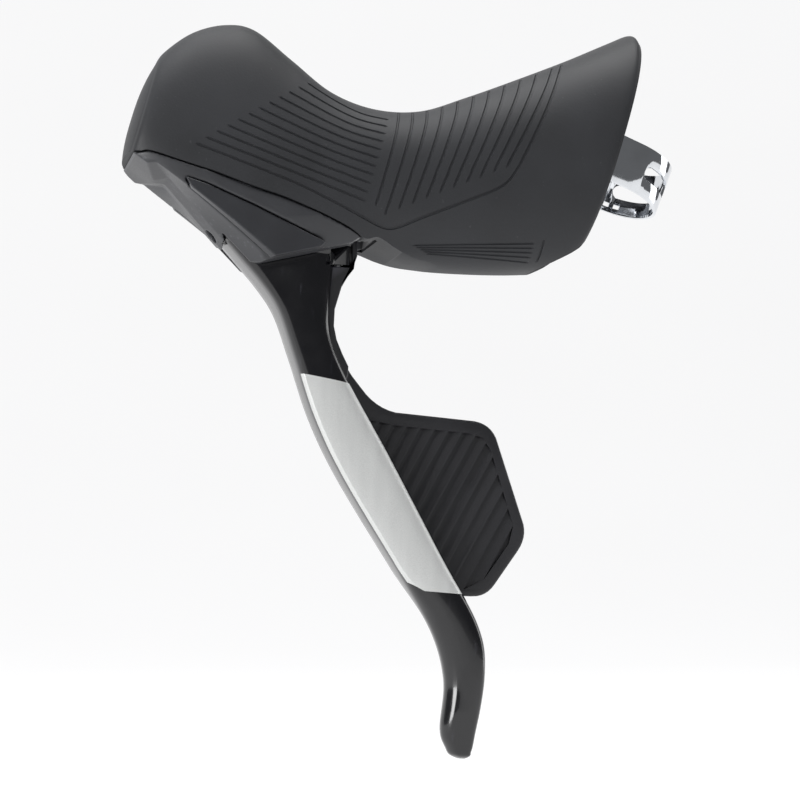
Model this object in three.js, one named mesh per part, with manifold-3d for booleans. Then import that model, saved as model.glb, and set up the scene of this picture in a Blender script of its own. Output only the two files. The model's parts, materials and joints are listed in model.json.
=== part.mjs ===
// Left-hand brake shift lever for a drop handlebar: hydraulic brake, wireless shift paddle.
// Millimetres. +X points rearwards, +Y inboard, +Z up.
// The origin is on the handlebar's axis, at the middle of the clamp band.

import * as THREE from 'three';
import { mergeVertices } from 'three/addons/utils/BufferGeometryUtils.js';
import Module from 'manifold-3d';

const wasm = await Module();
wasm.setup();

// ---------------------------------------------------------------- driving dimensions

const GAP = 0.35; // between pieces that rest on each other
const BAR_RADIUS = 12; // 24 mm handlebar
const BAR_TILT = 0.38; // radians that the bar's axis leans rearwards from upright

const RUBBER = 2.3; // wall of the hood
const SKIN_SIDES = 24; // facets round the hood

// Sections of the outer skin from nose to cuff: top and bottom points as [x, z], half width,
// and how much wider the foot of the section is than its head.
const SKIN = [
  { top: [-121.0, 20.5], bottom: [-127.9, -4.5], half: 11.0, spread: 1.5 },
  { top: [-118.6, 24.2], bottom: [-127.3, -8.5], half: 13.6, spread: 2.0 },
  { top: [-111.6, 29.6], bottom: [-122.0, -15.0], half: 15.4, spread: 2.5 },
  { top: [-103.5, 32.2], bottom: [-112.5, -23.0], half: 16.2, spread: 3.0 },
  { top: [-96.2, 31.3], bottom: [-103.5, -31.0], half: 16.5, spread: 3.0 },
  { top: [-86.9, 24.3], bottom: [-93.5, -33.0], half: 16.5, spread: 2.5 },
  { top: [-77.0, 16.7], bottom: [-82.0, -30.0], half: 16.5, spread: 1.5 },
  { top: [-66.0, 12.9], bottom: [-70.5, -26.0], half: 16.6, spread: 0.5 },
  { top: [-54.2, 13.0], bottom: [-58.8, -26.4], half: 17.6, spread: 0.0 },
  { top: [-42.0, 17.3], bottom: [-47.5, -27.0], half: 18.3, spread: -0.5 },
  { top: [-29.0, 22.6], bottom: [-36.5, -27.1], half: 19.2, spread: -1.0 },
  { top: [-15.5, 28.4], bottom: [-27.5, -26.4], half: 20.2, spread: -1.0 },
  { top: [-4.0, 33.8], bottom: [-19.2, -25.0], half: 21.0, spread: -1.0 },
  { top: [2.6, 36.2], bottom: [-15.6, -23.8], half: 21.3, spread: -1.0 },
  { top: [4.4, 34.6], bottom: [-14.2, -22.6], half: 21.0, spread: -1.0 },
];

// Side view of the hard front of the housing, below the rubber.
const RUBBER_EDGE = [
  [-128.4, -4.0], [-126.6, -4.2], [-125.2, -3.5], [-122.9, -2.9], [-115.6, -5.3],
  [-107.6, -7.7], [-98.2, -10.9], [-89.4, -13.5], [-75.6, -18.9], [-70.0, -21.7],
];
// Carries the hood's edge on under the hood, behind the paddle's arm.
const HEEL_EDGE = [[-66.6, -21.4], [-62.0, -23.5], [-57.0, -25.3], [-50.0, -26.6], [-42.0, -30.0]];
const FRONT_UNDERSIDE = [
  [-71.4, -21.6], [-73.2, -22.9], [-95.4, -28.3], [-97.4, -28.0], [-102.4, -25.2],
  [-105.2, -23.3], [-107.7, -20.6], [-111.7, -14.8], [-115.5, -10.8], [-118.0, -9.3],
  [-121.6, -8.3], [-124.4, -6.7], [-125.9, -5.3],
];

const PIVOT = [-104, -11]; // brake lever's axle, [x, z]
const HEAD_RADIUS = 5.6;
const SLOT_HALF = 7.2; // half width of the slot that the lever swings in
const CHEEK = 13.2; // half width of the cheeks under the side covers
const COVER_FACE = 15.6; // half width over the side covers
const PIN_RADIUS = 2.6;
const BUSHING_RADIUS = 3.9;
const BLADE_HALF = 6.2; // half width of the lever blade at its neck

const BORE = { x: -94, radius: 5, bottom: -3, top: 19 }; // master cylinder, upright
const PLUG_RADIUS = 6.6;
const RESERVOIR_SCREWS = [[-117.2, -1.6], [-103.8, 12.5]]; // [x, z] of the cap's screws

const HOSE = { rear: [-25, -10.4, -6.5], front: [-90.5, -3.6, 13.4], drill: 1.2, nut: 3.4 };

const BATTERY = { x: -46, z: -6, radius: 10, thick: 3.2 };
const DOOR = { radius: 14, y: 13.6 }; // battery door, and where its inner face stands
const BOARD = { y: 8.2, thick: 0.8 };
const BUTTON = { x: -89, z: -23.1, radius: 2.1 };
const LIGHT = { x: -84, z: -23.6, radius: 0.8 };

const BAND = { thick: 0.8, width: 12.4, reach: 17.5 }; // reach: bar's axis to the front wall
const POCKET_START = 5; // the band's pocket opens inside the bar's own space
const BOLT = { radius: 2.5, head: 4.25, seat: 24.2 }; // seat: bar's axis to the head's seat

const PADDLE_PIN = { x: -73.8, z: -24.5, lean: 0.2, radius: 1.1 };
const PADDLE_Y = 3.1; // mid plane of the paddle's plate
const PADDLE_THICK = 3;

const MATERIALS = {
  rubber: { color: 0x2b2d31, roughness: 0.85, metalness: 0 },
  plastic: { color: 0x25272b, roughness: 0.55, metalness: 0 },
  cover: { color: 0x34373c, roughness: 0.5, metalness: 0 },
  gloss: { color: 0x121318, roughness: 0.2, metalness: 0 },
  silver: { color: 0xc5c8c6, roughness: 0.45, metalness: 0.3 },
  steel: { color: 0x9a9da1, roughness: 0.35, metalness: 1 },
  chrome: { color: 0xd8dade, roughness: 0.08, metalness: 1 },
  brass: { color: 0xb08d4a, roughness: 0.35, metalness: 1 },
  alloy: { color: 0xa9adb2, roughness: 0.4, metalness: 1 },
  seal: { color: 0x1a1a1b, roughness: 0.7, metalness: 0 },
  board: { color: 0x1f5a36, roughness: 0.5, metalness: 0 },
  clear: { color: 0xdfe5e2, roughness: 0.15, metalness: 0 },
};

// ---------------------------------------------------------------- building helpers

const group = new THREE.Group();

function addPart(name, material, geometry) {
  const mesh = new THREE.Mesh(geometry, new THREE.MeshStandardMaterial(MATERIALS[material]));
  mesh.name = name;
  group.add(mesh);
  return mesh;
}

function toSolid(geometry) {
  const bare = geometry.clone();
  bare.deleteAttribute('normal');
  bare.deleteAttribute('uv');
  const merged = mergeVertices(bare, 1e-4);
  return new wasm.Manifold(new wasm.Mesh({
    numProp: 3,
    vertProperties: Float32Array.from(merged.attributes.position.array),
    triVerts: Uint32Array.from(merged.index.array),
  }));
}

function toGeometry(solid) {
  const mesh = solid.getMesh();
  const geometry = new THREE.BufferGeometry();
  geometry.setAttribute('position', new THREE.BufferAttribute(mesh.vertProperties, 3));
  geometry.setIndex(new THREE.BufferAttribute(mesh.triVerts, 1));
  geometry.computeVertexNormals();
  return geometry;
}

function join(first, ...others) {
  return others.reduce((sum, other) => sum.add(toSolid(other)), toSolid(first));
}

function cut(solid, ...tools) {
  return tools.reduce((left, tool) => left.subtract(toSolid(tool)), solid);
}

// A closed outline of [x, z] points.
function outline(points) {
  return new THREE.Shape(points.map(([x, z]) => new THREE.Vector2(x, z)));
}

// A side-view shape given thickness from y = low to y = high.
function slab(shape, low, high, options = {}) {
  const { bevel = 0, curveSegments = 6, bevelSegments = 2 } = options;
  const geometry = new THREE.ExtrudeGeometry(shape, {
    depth: high - low - 2 * bevel,
    bevelEnabled: bevel > 0,
    bevelThickness: bevel,
    bevelSize: bevel,
    bevelOffset: -bevel,
    bevelSegments,
    curveSegments,
  });
  geometry.rotateX(Math.PI / 2);
  geometry.translate(0, high - bevel, 0);
  return geometry;
}

function block(x0, x1, y0, y1, z0, z1) {
  const geometry = new THREE.BoxGeometry(x1 - x0, y1 - y0, z1 - z0);
  geometry.translate((x0 + x1) / 2, (y0 + y1) / 2, (z0 + z1) / 2);
  return geometry;
}

// Turns a geometry that stands on its own Y axis so that it runs from one point to another.
function aim(geometry, from, to) {
  const start = new THREE.Vector3(...from);
  const along = new THREE.Vector3(...to).sub(start).normalize();
  const turn = new THREE.Quaternion().setFromUnitVectors(new THREE.Vector3(0, 1, 0), along);
  geometry.applyQuaternion(turn);
  geometry.translate(start.x, start.y, start.z);
  return geometry;
}

function rod(radius, from, to, sides = 16) {
  const length = new THREE.Vector3(...from).distanceTo(new THREE.Vector3(...to));
  const geometry = new THREE.CylinderGeometry(radius, radius, length, sides);
  geometry.translate(0, length / 2, 0);
  return aim(geometry, from, to);
}

// A turned piece: [radius, distance] pairs along the axis from one point towards another.
// A ring's profile closes on itself.
function turned(profile, from, to, sides = 20) {
  const points = profile.map(([radius, along]) => new THREE.Vector2(radius, along));
  return aim(new THREE.LatheGeometry(points, sides), from, to);
}

function ring(inner, outer, low, high) {
  return [[inner, low], [outer, low], [outer, high], [inner, high], [inner, low]];
}

function torus(middle, wire, centre, axisPoint, sides = 24) {
  const profile = [];
  for (let i = 0; i <= 6; i += 1) {
    const angle = (i / 6) * 2 * Math.PI;
    profile.push([middle + wire * Math.cos(angle), wire * Math.sin(angle)]);
  }
  return turned(profile, centre, axisPoint, sides);
}

// A coil spring along the axis from one point towards another.
function coil({ radius, wire, turns, length, from, to, stepsPerTurn = 11 }) {
  const steps = Math.round(turns * stepsPerTurn);
  const points = [];
  for (let i = 0; i <= steps; i += 1) {
    const angle = (i / steps) * turns * 2 * Math.PI;
    points.push(new THREE.Vector3(
      radius * Math.cos(angle),
      wire + (i / steps) * (length - 2 * wire),
      radius * Math.sin(angle),
    ));
  }
  const section = new THREE.Shape();
  section.absarc(0, 0, wire, 0, 2 * Math.PI);
  const geometry = new THREE.ExtrudeGeometry(section, {
    steps,
    curveSegments: 3,
    extrudePath: new THREE.CatmullRomCurve3(points),
  });
  return aim(geometry, from, to);
}

function barPoint(axial, forward, y = 0) {
  const sin = Math.sin(BAR_TILT);
  const cos = Math.cos(BAR_TILT);
  return [axial * sin - forward * cos, y, axial * cos + forward * sin];
}

// ---------------------------------------------------------------- hood and housing

// The outer skin moved inwards by some distance. The cuff's end can be carried on
// rearwards, so that it cuts an open mouth.
function skin(inset, carryOn = 0) {
  const rows = SKIN.length + (carryOn > 0 ? 1 : 0);
  const geometry = new THREE.CylinderGeometry(1, 1, 1, SKIN_SIDES, rows - 1);
  const position = geometry.attributes.position;
  for (let i = 0; i < position.count; i += 1) {
    const row = Math.round((0.5 - position.getY(i)) * (rows - 1));
    const round = Math.atan2(position.getX(i), position.getZ(i));
    const spread = Math.hypot(position.getX(i), position.getZ(i));
    const point = skinPoint(Math.min(row, SKIN.length - 1), round, spread, inset);
    point.x += inset * Math.max(0, 1 - row / 4);
    if (row >= SKIN.length) {
      point.x += carryOn;
      point.z += carryOn * 0.1;
    }
    position.setXYZ(i, point.x, point.y, point.z);
  }
  return geometry;
}

// One point of a section: a rounded box, as wide as its half width and as tall as its chord.
function skinPoint(row, round, spread, inset) {
  const { top, bottom, half, spread: foot } = SKIN[row];
  const squareness = 2 / 2.5;
  const up = Math.sign(Math.cos(round)) * Math.abs(Math.cos(round)) ** squareness;
  const side = Math.sign(Math.sin(round)) * Math.abs(Math.sin(round)) ** squareness;
  const height = Math.hypot(top[0] - bottom[0], top[1] - bottom[1]);
  const shrink = 1 - (2 * inset) / height;
  const middle = [(top[0] + bottom[0]) / 2, (top[1] + bottom[1]) / 2];
  const rise = (up * spread * shrink) / 2;
  const width = half - inset - (foot * up) / 2;
  return new THREE.Vector3(
    middle[0] + (top[0] - bottom[0]) * rise,
    side * spread * width,
    middle[1] + (top[1] - bottom[1]) * rise,
  );
}

// The space of the handlebar: upright through the clamp, then curving back into the ramp.
function barSweep(radius) {
  const path = new THREE.CatmullRomCurve3([
    new THREE.Vector3(-21, 0, -56),
    new THREE.Vector3(...barPoint(-24, 0)),
    new THREE.Vector3(...barPoint(-10, 0)),
    new THREE.Vector3(...barPoint(4, 0)),
    new THREE.Vector3(8.5, 0, 16),
    new THREE.Vector3(20, 0, 25),
    new THREE.Vector3(44, 0, 29),
  ]);
  const section = new THREE.Shape();
  section.absarc(0, 0, radius, 0, 2 * Math.PI);
  return new THREE.ExtrudeGeometry(section, { steps: 10, curveSegments: 10, extrudePath: path });
}

function hoodCover() {
  const below = [...RUBBER_EDGE, ...HEEL_EDGE, [-42, -60], [-150, -60], [-150, -4]];
  const front = slab(outline(below), -40, 40);
  return toGeometry(cut(toSolid(skin(0)), skin(RUBBER, 8), barSweep(BAR_RADIUS + 1.1), front));
}

// Bore mouth, head and seal seats, all round one upright axis.
function boreTools() {
  const { x, radius, bottom, top } = BORE;
  return [
    rod(radius, [x, 0, bottom - 1], [x, 0, top + 1], 22),
    rod(PLUG_RADIUS + GAP, [x, 0, top], [x, 0, 40], 22),
    rod(radius + 0.9, [x, 0, -2.4], [x, 0, -1.2], 22),
  ];
}

function slotTool() {
  const swing = outline([
    [-112.2, -3.2], [-66.3, -3.2], [-66.3, -40], [-103.3, -40], [-103.3, -23.8],
    [-104.8, -21.9], [-106.8, -19.2], [-110.0, -13.9], [-112.2, -11.5],
  ]);
  return slab(swing, -SLOT_HALF, SLOT_HALF);
}

function reservoirTools() {
  const pocket = outline([[-119, 1], [-107.5, 1], [-106.5, 19], [-115, 19]]);
  const port = rod(0.8, [-108, 0, 10.6], [-98, 0, 10.6], 10);
  const screws = RESERVOIR_SCREWS.map(([x, z]) => rod(1.35, [x, -20, z], [x, -6.5, z], 12));
  return [slab(pocket, -20, 5), slab(capOutline(GAP), -20, -10.2), port, ...screws];
}

function capOutline(grow) {
  return outline([
    [-120.6 - grow, -3.4 - grow], [-104.6 + grow, -3.4 - grow], [-101.9 + grow, 6],
    [-101.9 + grow, 15], [-105.4 + grow, 20.6 + grow], [-115.6 - grow, 20.6 + grow],
  ]);
}

function boardOutline(grow) {
  const { x, z } = BATTERY;
  return outline([
    [-92 - grow, -25.4 - grow], [-86, -25.2 - grow], [-79, -20.5 - grow], [-66, -18.5 - grow],
    [x - 7, z - 7 - grow], [x + 7 + grow, z - 7 - grow], [x + 7 + grow, z + 7 + grow],
    [x - 7 - grow, z + 7 + grow], [-66, -9 + grow], [-80, -14 + grow], [-92 - grow, -20.8 + grow],
  ]);
}

function electronicsTools() {
  const { x, z, radius } = BATTERY;
  const floor = BOARD.y - GAP;
  const bay = rod(radius + 0.5, [x, floor, z], [x, 30, z], 24);
  const seat = rod(DOOR.radius + GAP, [x, DOOR.y - GAP, z], [x, 30, z], 24);
  const groove = rod(radius + 1.5, [x, DOOR.y - 1, z], [x, 30, z], 24);
  const screws = doorScrews().map(([sx, sz]) => rod(1.3, [sx, 8, sz], [sx, 16, sz], 12));
  const board = slab(boardOutline(GAP), floor, BOARD.y + 3.2);
  const button = rod(BUTTON.radius + 1.2, [BUTTON.x, floor, BUTTON.z], [BUTTON.x, 30, BUTTON.z]);
  const light = rod(LIGHT.radius + GAP, [LIGHT.x, floor, LIGHT.z], [LIGHT.x, 30, LIGHT.z], 14);
  return [bay, seat, groove, board, button, light, ...screws];
}

function doorScrews() {
  const { x, z, radius } = BATTERY;
  return [-1, 1].map((side) => [x + side * (radius + 2.7) * 0.8, z + side * (radius + 2.7) * 0.6]);
}

function hoseTools() {
  const seat = along(HOSE, 16);
  return [
    rod(HOSE.drill, HOSE.rear, HOSE.front, 14),
    rod(HOSE.nut + GAP, along(HOSE, -12), seat, 24),
    block(-29, 10, -22, -5.6, -40, -1.4),
  ];
}

// A point some way in from the hose port's mouth.
function along({ rear, front }, distance) {
  const start = new THREE.Vector3(...rear);
  const run = new THREE.Vector3(...front).sub(start).normalize();
  return start.addScaledVector(run, distance).toArray();
}

function clampTools() {
  const depth = BOLT.seat - 2.2 - POCKET_START;
  const pocket = new THREE.BoxGeometry(depth, 2 * (BAR_RADIUS + 1.6), BAND.width + 1);
  pocket.applyMatrix4(barFrame());
  pocket.translate(...barPoint(0, POCKET_START + depth / 2));
  return [
    pocket,
    rod(BOLT.radius + GAP, barPoint(0, 15), barPoint(0, 30), 18),
    rod(BOLT.head + 0.5, barPoint(0, BOLT.seat), barPoint(0, 70), 24),
  ];
}

// Local X forward to the bar's front, local Y inboard, local Z up the bar's axis.
function barFrame() {
  const forward = new THREE.Vector3(...barPoint(0, 1));
  const up = new THREE.Vector3(...barPoint(1, 0));
  const side = new THREE.Vector3().crossVectors(up, forward);
  return new THREE.Matrix4().makeBasis(forward, side, up);
}

function coverOutline(grow) {
  return outline([
    [-121.6 - grow, -6.9 + grow * 0.4], [-109.6, -10.7 + grow], [-98.2, -15.4 + grow],
    [-80.4 + grow, -23.6 + grow], [-81.6 + grow, -24.9 - grow], [-95.4, -28.2 - grow],
    [-104.1 - grow * 0.6, -20.8 - grow * 0.8], [-111.2 - grow * 0.6, -15.2 - grow * 0.8],
  ]);
}

function leverBody() {
  const inside = toSolid(skin(RUBBER + GAP));
  const frontShape = outline([
    ...RUBBER_EDGE.slice(1).map(([x, z]) => [x, z - GAP]).reverse().slice(1),
    ...FRONT_UNDERSIDE.slice().reverse(),
  ]);
  const exposed = toSolid(skin(0)).intersect(toSolid(slab(frontShape, -16, 16)));
  const core = outline([
    [-124.6, -4.2], [-121.5, -8.2], [-111.7, -14.6], [-105.2, -23.1], [-96.5, -27.8],
    [-73.2, -22.6], [-70, -21.6], [-66.2, -20.8], [-61, -22.8], [-54, -24.2], [-20, -24.2],
    [10, -20], [10, 40], [-130, 40], [-130, 0],
  ]);
  const trimmed = inside.intersect(toSolid(slab(core, -40, 40)));
  const bevels = [-1, 1].map((side) => frontBevel(side));
  const covers = [-1, 1].map((side) => slab(
    coverOutline(GAP),
    side < 0 ? -30 : CHEEK,
    side < 0 ? -CHEEK : 30,
  ));
  const behindBar = block(-4, 30, -40, 40, -60, 60);
  const pin = rod(PIN_RADIUS, [PIVOT[0], -13.05, PIVOT[1]], [PIVOT[0], 20, PIVOT[1]]);
  const recess = rod(3.4, reachPoint(0), reachPoint(14), 20);
  return toGeometry(cut(
    trimmed.add(exposed),
    slotTool(), ...boreTools(), ...reservoirTools(), ...electronicsTools(), ...hoseTools(),
    ...clampTools(), barSweep(BAR_RADIUS + 0.4), behindBar, ...covers, ...bevels, pin, recess,
  ));
}

// Planes off the two front corners, so that the nose narrows to a flat front face.
function frontBevel(side) {
  const wedge = new THREE.BoxGeometry(12, 12, 70);
  wedge.rotateZ(side * 0.72);
  wedge.rotateY(-0.62);
  wedge.translate(-119.8, side * 18.2, -14.5);
  return wedge;
}

function sideCover(side) {
  const low = side < 0 ? -COVER_FACE : CHEEK + GAP;
  const plate = toSolid(slab(coverOutline(0), low, low + COVER_FACE - CHEEK - GAP));
  const holes = side < 0 ? [] : [
    rod(BUTTON.radius + GAP, [BUTTON.x, 0, BUTTON.z], [BUTTON.x, 30, BUTTON.z]),
    rod(LIGHT.radius + GAP, [LIGHT.x, 0, LIGHT.z], [LIGHT.x, 30, LIGHT.z], 14),
  ];
  return toGeometry(cut(plate, frontBevel(side), ...holes));
}

// ---------------------------------------------------------------- brake lever

function bladeShape() {
  const shape = new THREE.Shape();
  const front = [
    [-103.4, -22.1], [-99.9, -26.0], [-94.0, -32.8], [-89.7, -39.4], [-85.8, -50.4],
    [-80.8, -65.2], [-73.6, -79.8], [-59.7, -102.1], [-50.4, -117.0], [-46.9, -129.5],
    [-47.9, -141.6], [-45.8, -147.4], [-42.4, -149.4],
  ];
  const rear = [
    [-39.5, -144.0], [-36.8, -128.0], [-38.4, -116.2], [-48.0, -98.5], [-61.4, -73.7],
    [-71.8, -55.9], [-76.3, -45.6], [-77.0, -38.0], [-76.6, -30.0],
  ];
  const head = Math.atan2(-14.4 - PIVOT[1], -108.4 - PIVOT[0]);
  shape.moveTo(...front[0]);
  shape.splineThru(front.slice(1).map(([x, z]) => new THREE.Vector2(x, z)));
  shape.splineThru(rear.map(([x, z]) => new THREE.Vector2(x, z)));
  for (const [x, z] of [
    [-77.0, -26.8], [-71.8, -26.8], [-71.6, -22.0], [-77.2, -22.0], [-77.4, -16.0],
    [-87.5, -11.4], [-91.0, -8.4], [-97.0, -6.4], [-100.0, -6.2],
  ]) {
    shape.lineTo(x, z);
  }
  shape.absarc(PIVOT[0], PIVOT[1], HEAD_RADIUS, 0.87, head + 2 * Math.PI, false);
  return shape;
}

function brakeLeverBlade() {
  const blade = slab(bladeShape(), -BLADE_HALF, BLADE_HALF, {
    bevel: 1.0, curveSegments: 2, bevelSegments: 2,
  });
  const [px, pz] = PIVOT;
  return toGeometry(cut(
    toSolid(taper(blade)),
    rod(BUSHING_RADIUS + GAP, [px, -20, pz], [px, 20, pz], 24),
    slab(headRelief(), 4.4, 20),
    slab(headRelief(), -20, -4.4),
    slab(lugRelief(), 2.6, 20),
    slab(lugRelief(), -20, -2.6),
    rod(2.5 + GAP, [BORE.x, -20, -9.6], [BORE.x, 20, -9.6], 20),
    rod(2.0, [BORE.x, 0, -9], [BORE.x, 0, 0], 16),
    rod(PADDLE_PIN.radius + GAP, paddlePinPoint(12), paddlePinPoint(-14), 14),
    slab(outline([[-77.3, -27.0], ...armFront(-0.9), [-60, -58], [-60, -27.0]]), -3.5, 20),
    slab(outline([...paddleFront(-0.9), [-40, -110], [-30, -50]]), PADDLE_Y - 2, 20),
    rod(1.5 + GAP, reachPoint(-0.4), reachPoint(9), 14),
  ));
}

// Narrows the blade's width towards its tip.
function taper(geometry) {
  const position = geometry.attributes.position;
  for (let i = 0; i < position.count; i += 1) {
    const down = Math.min(1, Math.max(0, (-40 - position.getZ(i)) / 108));
    position.setY(i, position.getY(i) * (1 - 0.28 * down));
  }
  return geometry;
}

// Along the reach screw's axis, from its tip out to the front.
function reachPoint(out) {
  return [-101.2 - 0.832 * out, 0, -17.4 - 0.555 * out];
}

// The head is thinner than the blade: springs sit either side of it.
function headRelief() {
  return outline([
    [-114, -2], [-97.9, -2], [-97.9, -11.5], [-99.8, -16.2], [-103.2, -18.6], [-114, -20],
  ]);
}

function lugRelief() {
  return outline([[-77.2, -14], [-60, -14], [-60, -30], [-77.2, -30]]);
}

function paddlePinPoint(up) {
  const { x, z, lean } = PADDLE_PIN;
  return [x + up * Math.sin(lean), 0, z + up * Math.cos(lean)];
}

// Front edge of the paddle's arm, just behind the blade's neck.
function armFront(shift) {
  return [
    [-76.4 + shift, -31.0], [-77.3 + shift, -38.6], [-76.8 + shift, -45.6],
    [-75.4 + shift, -51.0], [-73.0 + shift, -57.0],
  ];
}

// Where the paddle's plate hides behind the blade.
function paddleFront(shift) {
  return [
    [-75.2 + shift, -50.5], [-73.4 + shift, -58.0], [-66.5 + shift, -72.0], [-58.0 + shift, -87.5],
    [-48.6 + shift, -104.6], [-45.4 + shift, -109.4],
  ];
}

function leverBadge() {
  const band = outline([
    [-82.6, -56.7], [-78.2, -58.0], [-74.2, -58.4], [-66.6, -70.8], [-58.8, -84.9], [-50.9, -99.4],
    [-48.8, -103.4], [-57.5, -103.6], [-66.0, -90.3], [-74.3, -76.3], [-79.7, -65.0],
  ]);
  return taper(slab(band, -BLADE_HALF - 0.75, -BLADE_HALF - GAP));
}

// ---------------------------------------------------------------- shift paddle

function paddleShape() {
  const shape = new THREE.Shape();
  const corner = (x, z, nextX, nextZ) => shape.quadraticCurveTo(x, z, nextX, nextZ);
  const front = paddleFront(0);
  shape.moveTo(-70.6, -52.6);
  shape.lineTo(-67.4, -57.8);
  corner(-63.8, -62.2, -59.0, -62.9);
  shape.lineTo(-38.2, -64.6);
  corner(-34.0, -65.2, -32.4, -68.9);
  shape.lineTo(-25.3, -90.6);
  corner(-24.5, -94.0, -26.9, -97.4);
  shape.lineTo(-33.0, -105.8);
  corner(-35.2, -108.9, -38.8, -108.8);
  shape.lineTo(-45.0, -108.6);
  for (const [x, z] of front.slice(0, -1).reverse()) {
    shape.lineTo(x, z);
  }
  return shape;
}

// A plate with an arm that rises behind the blade's neck and forks round the blade's lug.
function shiftPaddle() {
  const low = PADDLE_Y - PADDLE_THICK / 2;
  const plate = slab(paddleShape(), low, low + PADDLE_THICK, { bevel: 0.6, bevelSegments: 1 });
  const arm = slab(outline([
    [-76.3, -18.5], [-70.2, -18.5], [-69.6, -19.6], [-69.6, -24.4], [-70.6, -27.2], [-73.6, -32.4],
    [-75.3, -38.0], [-75.4, -42.2], [-74.6, -46.0], [-70.6, -52.6], ...armFront(0).reverse(),
    [-76.4, -27.3], [-71.0, -27.3], [-70.9, -21.4], [-76.3, -21.4],
  ]), -2.6, 2.6);
  const hole = rod(PADDLE_PIN.radius + GAP, paddlePinPoint(9), paddlePinPoint(-9), 14);
  return toGeometry(cut(join(plate, arm), hole));
}

// ---------------------------------------------------------------- clamp

function clampBand() {
  const outer = bandOutline(BAR_RADIUS + BAND.thick, BAND.reach);
  outer.holes.push(bandOutline(BAR_RADIUS, BAND.reach - BAND.thick));
  const geometry = new THREE.ExtrudeGeometry(outer, {
    depth: BAND.width, bevelEnabled: false, curveSegments: 18,
  });
  geometry.translate(0, 0, -BAND.width / 2);
  const window = new THREE.Shape();
  window.absarc(-4.2, 0, 1.9, Math.PI / 2, -Math.PI / 2, true);
  window.absarc(4.2, 0, 1.9, -Math.PI / 2, Math.PI / 2, false);
  const tools = [rod(2.5 + GAP, [10, 0, 0], [24, 0, 0], 18)];
  for (const side of [-1, 1]) {
    const cutter = new THREE.ExtrudeGeometry(window, {
      depth: 10, bevelEnabled: false, curveSegments: 8,
    });
    cutter.rotateX(Math.PI / 2);
    cutter.translate(-9.4, side < 0 ? -4.4 : 14.4, 0);
    tools.push(cutter);
  }
  return toGeometry(cut(toSolid(geometry), ...tools)).applyMatrix4(barFrame());
}

// A loop round the bar and, in front of it, round the clamp nut.
function bandOutline(radius, reach) {
  const shape = new THREE.Shape();
  shape.moveTo(0, radius);
  shape.absarc(0, 0, radius, Math.PI / 2, -Math.PI / 2, false);
  shape.lineTo(reach - 3, -radius);
  shape.quadraticCurveTo(reach, -radius, reach, -radius + 3);
  shape.lineTo(reach, radius - 3);
  shape.quadraticCurveTo(reach, radius, reach - 3, radius);
  return shape;
}

function hexSocket(from, to, across) {
  return rod(across / Math.sqrt(3), from, to, 6);
}

function clampBolt() {
  const { radius, head, seat } = BOLT;
  const bolt = turned(
    [[0, 0], [radius, 0], [radius, 11.3], [head, 11.3], [head, 16.0], [0, 16.0]],
    barPoint(0, seat - 11.3 + GAP), barPoint(0, 60),
  );
  return toGeometry(cut(toSolid(bolt), hexSocket(barPoint(0, seat + 2), barPoint(0, seat + 9), 4)));
}

function clampNut() {
  const nut = new THREE.BoxGeometry(3.2, 16, 10);
  nut.applyMatrix4(barFrame());
  nut.translate(...barPoint(0, BAND.reach - BAND.thick - GAP - 1.6));
  return toGeometry(cut(toSolid(nut), rod(BOLT.radius + GAP, barPoint(0, 8), barPoint(0, 24), 18)));
}

// ---------------------------------------------------------------- all the parts

function addHousing() {
  addPart('hood_cover', 'rubber', hoodCover());
  addPart('lever_body', 'plastic', leverBody());
  addPart('side_cover_outboard', 'cover', sideCover(-1));
  addPart('side_cover_inboard', 'cover', sideCover(1));
}

function addReservoir() {
  const cup = slab(outline([[-118.4, 1.6], [-108.1, 1.6], [-107.1, 18.4], [-114.7, 18.4]]), -9.9, 2);
  const hollow = slab(outline([[-117.3, 2.6], [-109.1, 2.6], [-108.2, 17.4], [-114.1, 17.4]]), -12, 1);
  addPart('reservoir_bladder', 'seal', toGeometry(cut(toSolid(cup), hollow)));
  const holes = RESERVOIR_SCREWS.map(([x, z]) => rod(1.35, [x, -20, z], [x, -5, z], 12));
  const inside = toSolid(skin(RUBBER + 2 * GAP)).intersect(toSolid(slab(capOutline(0), -13.4, -10.55)));
  addPart('reservoir_cap', 'plastic', toGeometry(cut(inside, ...holes)));
  RESERVOIR_SCREWS.forEach(([x, z], i) => {
    addPart(`reservoir_cap_screw_${i + 1}`, 'steel', rod(1.0, [x, -11.4, z], [x, -7, z], 12));
  });
}

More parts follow.
